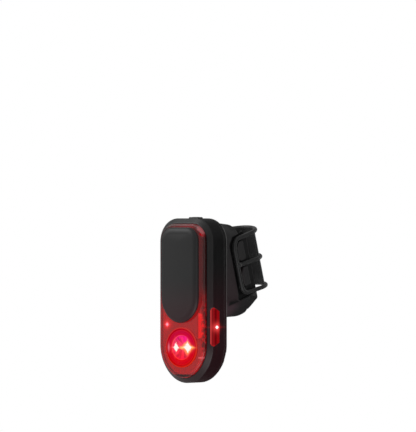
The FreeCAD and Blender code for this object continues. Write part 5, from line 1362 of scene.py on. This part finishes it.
class StageOperator(bpy.types.Operator):
    """Floor, lamps, world and camera"""

    bl_idname = "tail_light.stage"
    bl_label = "Stage"

    def execute(self, context):
        scene = context.scene
        stage = scene.tail_light_stage
        scene.view_settings.view_transform = "Standard"
        # The camera looks at a point given by its places to the right, towards the camera and up.
        right = np.array([math.cos(stage.turn), math.sin(stage.turn), 0.0])
        back = np.array([math.sin(stage.turn), -math.cos(stage.turn), 0.0])
        target = (right * -19.45 + back * 27.0 + np.array([0.0, 0.0, 29.5])) * MM
        data = bpy.data.cameras.new("camera")
        data.lens = stage.lens
        data.sensor_width = 36.0
        camera = bpy.data.objects.new("camera", data)
        scene.collection.objects.link(camera)
        camera.location = target + back * stage.reach
        camera.rotation_euler = (math.pi / 2, 0.0, stage.turn)
        scene.camera = camera
        self.floor(scene, stage)
        self.sky(scene)
        self.lamp(scene, "key_lamp", (-0.55, -0.75, 0.85), 0.7, stage.key)
        self.lamp(scene, "fill_lamp", (1.1, -0.5, 0.3), 0.6, stage.fill)
        return {"FINISHED"}

    def lamp(self, scene, name, spot, size, power):
        """Square soft lamp that faces the light."""
        data = bpy.data.lights.new(name, "AREA")
        data.shape = "SQUARE"
        data.size = size
        data.energy = power
        lamp = bpy.data.objects.new(name, data)
        aim = np.array([0.0, -0.03, -0.02])
        way = np.array(spot) - aim
        level = math.hypot(way[0], way[1])
        lamp.location = spot
        lamp.rotation_euler = (math.atan2(level, way[2]), 0.0, math.atan2(way[0], -way[1]))
        lamp.visible_camera = False
        scene.collection.objects.link(lamp)

    def floor(self, scene, stage):
        """Round floor: rings of points out to its radius, closer together near the middle.

        Reflections find the studio's walls in it, and it is white where the camera sees it far out.
        """
        part = np.linspace(0, 1, 24) ** 2
        profile = np.stack([part * stage.floor_radius, np.full(24, stage.floor_height)], 1)
        mesh = closed([grid_mesh("floor", turned(profile, stage.rings))], merge=0.01 * MM)
        floor = bpy.data.objects.new("floor", mesh)
        scene.collection.objects.link(floor)
        material = bpy.data.materials.new("floor_white")
        tree = emptied(material)
        spot = place(tree)
        x, y, _ = parts(spot)
        path = named(add(tree, "LightPath").socket.node.outputs)
        far = distance(x, y).ramp(0.15, 1.0, 0.7, 1.0)
        bright = larger(path["Is Glossy Ray"], far * self.seen(path))
        paint = add(tree, "BsdfDiffuse", {"Color": 0.8})
        shine = add(tree, "Emission", {"Strength": self.by_ray(path, spot, 0.0)})
        shown(tree, "Material", add(tree, "MixShader", (bright, paint, shine)))
        mesh.materials.append(material)

    def seen(self, path):
        return larger(path["Is Camera Ray"], path["Is Transmission Ray"])

    def by_ray(self, path, way, plain):
        """White for the camera and through clear pieces, the studio in reflections, else plain."""
        gloss = placed(way.tree, studio_walls, Direction=way)["Strength"]
        return larger(self.seen(path), choose(path["Is Glossy Ray"], gloss, plain))

    def sky(self, scene):
        """White background. Reflections find the studio's walls in it instead."""
        scene.world = bpy.data.worlds.new("studio")
        tree = emptied(scene.world)
        path = named(add(tree, "LightPath").socket.node.outputs)
        strength = self.by_ray(path, add(tree, "TexCoord", out="Generated"), 0.8)
        shown(tree, "World", add(tree, "Background", {"Color": 1.0, "Strength": strength}))


STEPS = (
    ShellOperator, CoverOperator, LensOperator, OpticOperator, StrapOperator, PadOperator,
    ButtonOperator, PortOperator, ScrewOperator, InsideOperator, StageOperator,
)
GROUPS = (
    ("tail_light_sizes", LightSizes), ("tail_light_strap", StrapSizes),
    ("tail_light_finishes", Finishes), ("tail_light_stage", StageSizes),
)


class TailLightPanel(bpy.types.Panel):
    """Buttons and sizes of the tail light"""

    bl_idname = "VIEW3D_PT_tail_light"
    bl_label = "Tail light"
    bl_space_type = "VIEW_3D"
    bl_region_type = "UI"
    bl_category = "Tail light"

    def draw(self, context):
        for step in STEPS:
            self.layout.operator(step.bl_idname)
        for name, group in GROUPS:
            column = self.layout.column(align=True)
            for size in group.__annotations__:
                column.prop(getattr(context.scene, name), size)


def register():
    for _, group in GROUPS:
        bpy.utils.register_class(group)
    for name, group in GROUPS:
        setattr(bpy.types.Scene, name, PointerProperty(type=group))
    for step in (*STEPS, TailLightPanel):
        bpy.utils.register_class(step)


def unregister():
    for step in (TailLightPanel, *reversed(STEPS)):
        bpy.utils.unregister_class(step)
    for name, _ in GROUPS:
        delattr(bpy.types.Scene, name)
    for _, group in reversed(GROUPS):
        bpy.utils.unregister_class(group)


def main():
    register()
    bpy.ops.tail_light.shells()
    bpy.ops.tail_light.cover()
    bpy.ops.tail_light.lens()
    bpy.ops.tail_light.optic()
    bpy.ops.tail_light.strap()
    bpy.ops.tail_light.pad()
    bpy.ops.tail_light.button()
    bpy.ops.tail_light.port()
    bpy.ops.tail_light.screws()
    bpy.ops.tail_light.inside()
    bpy.ops.tail_light.stage()


if __name__ == "__main__":
    main()
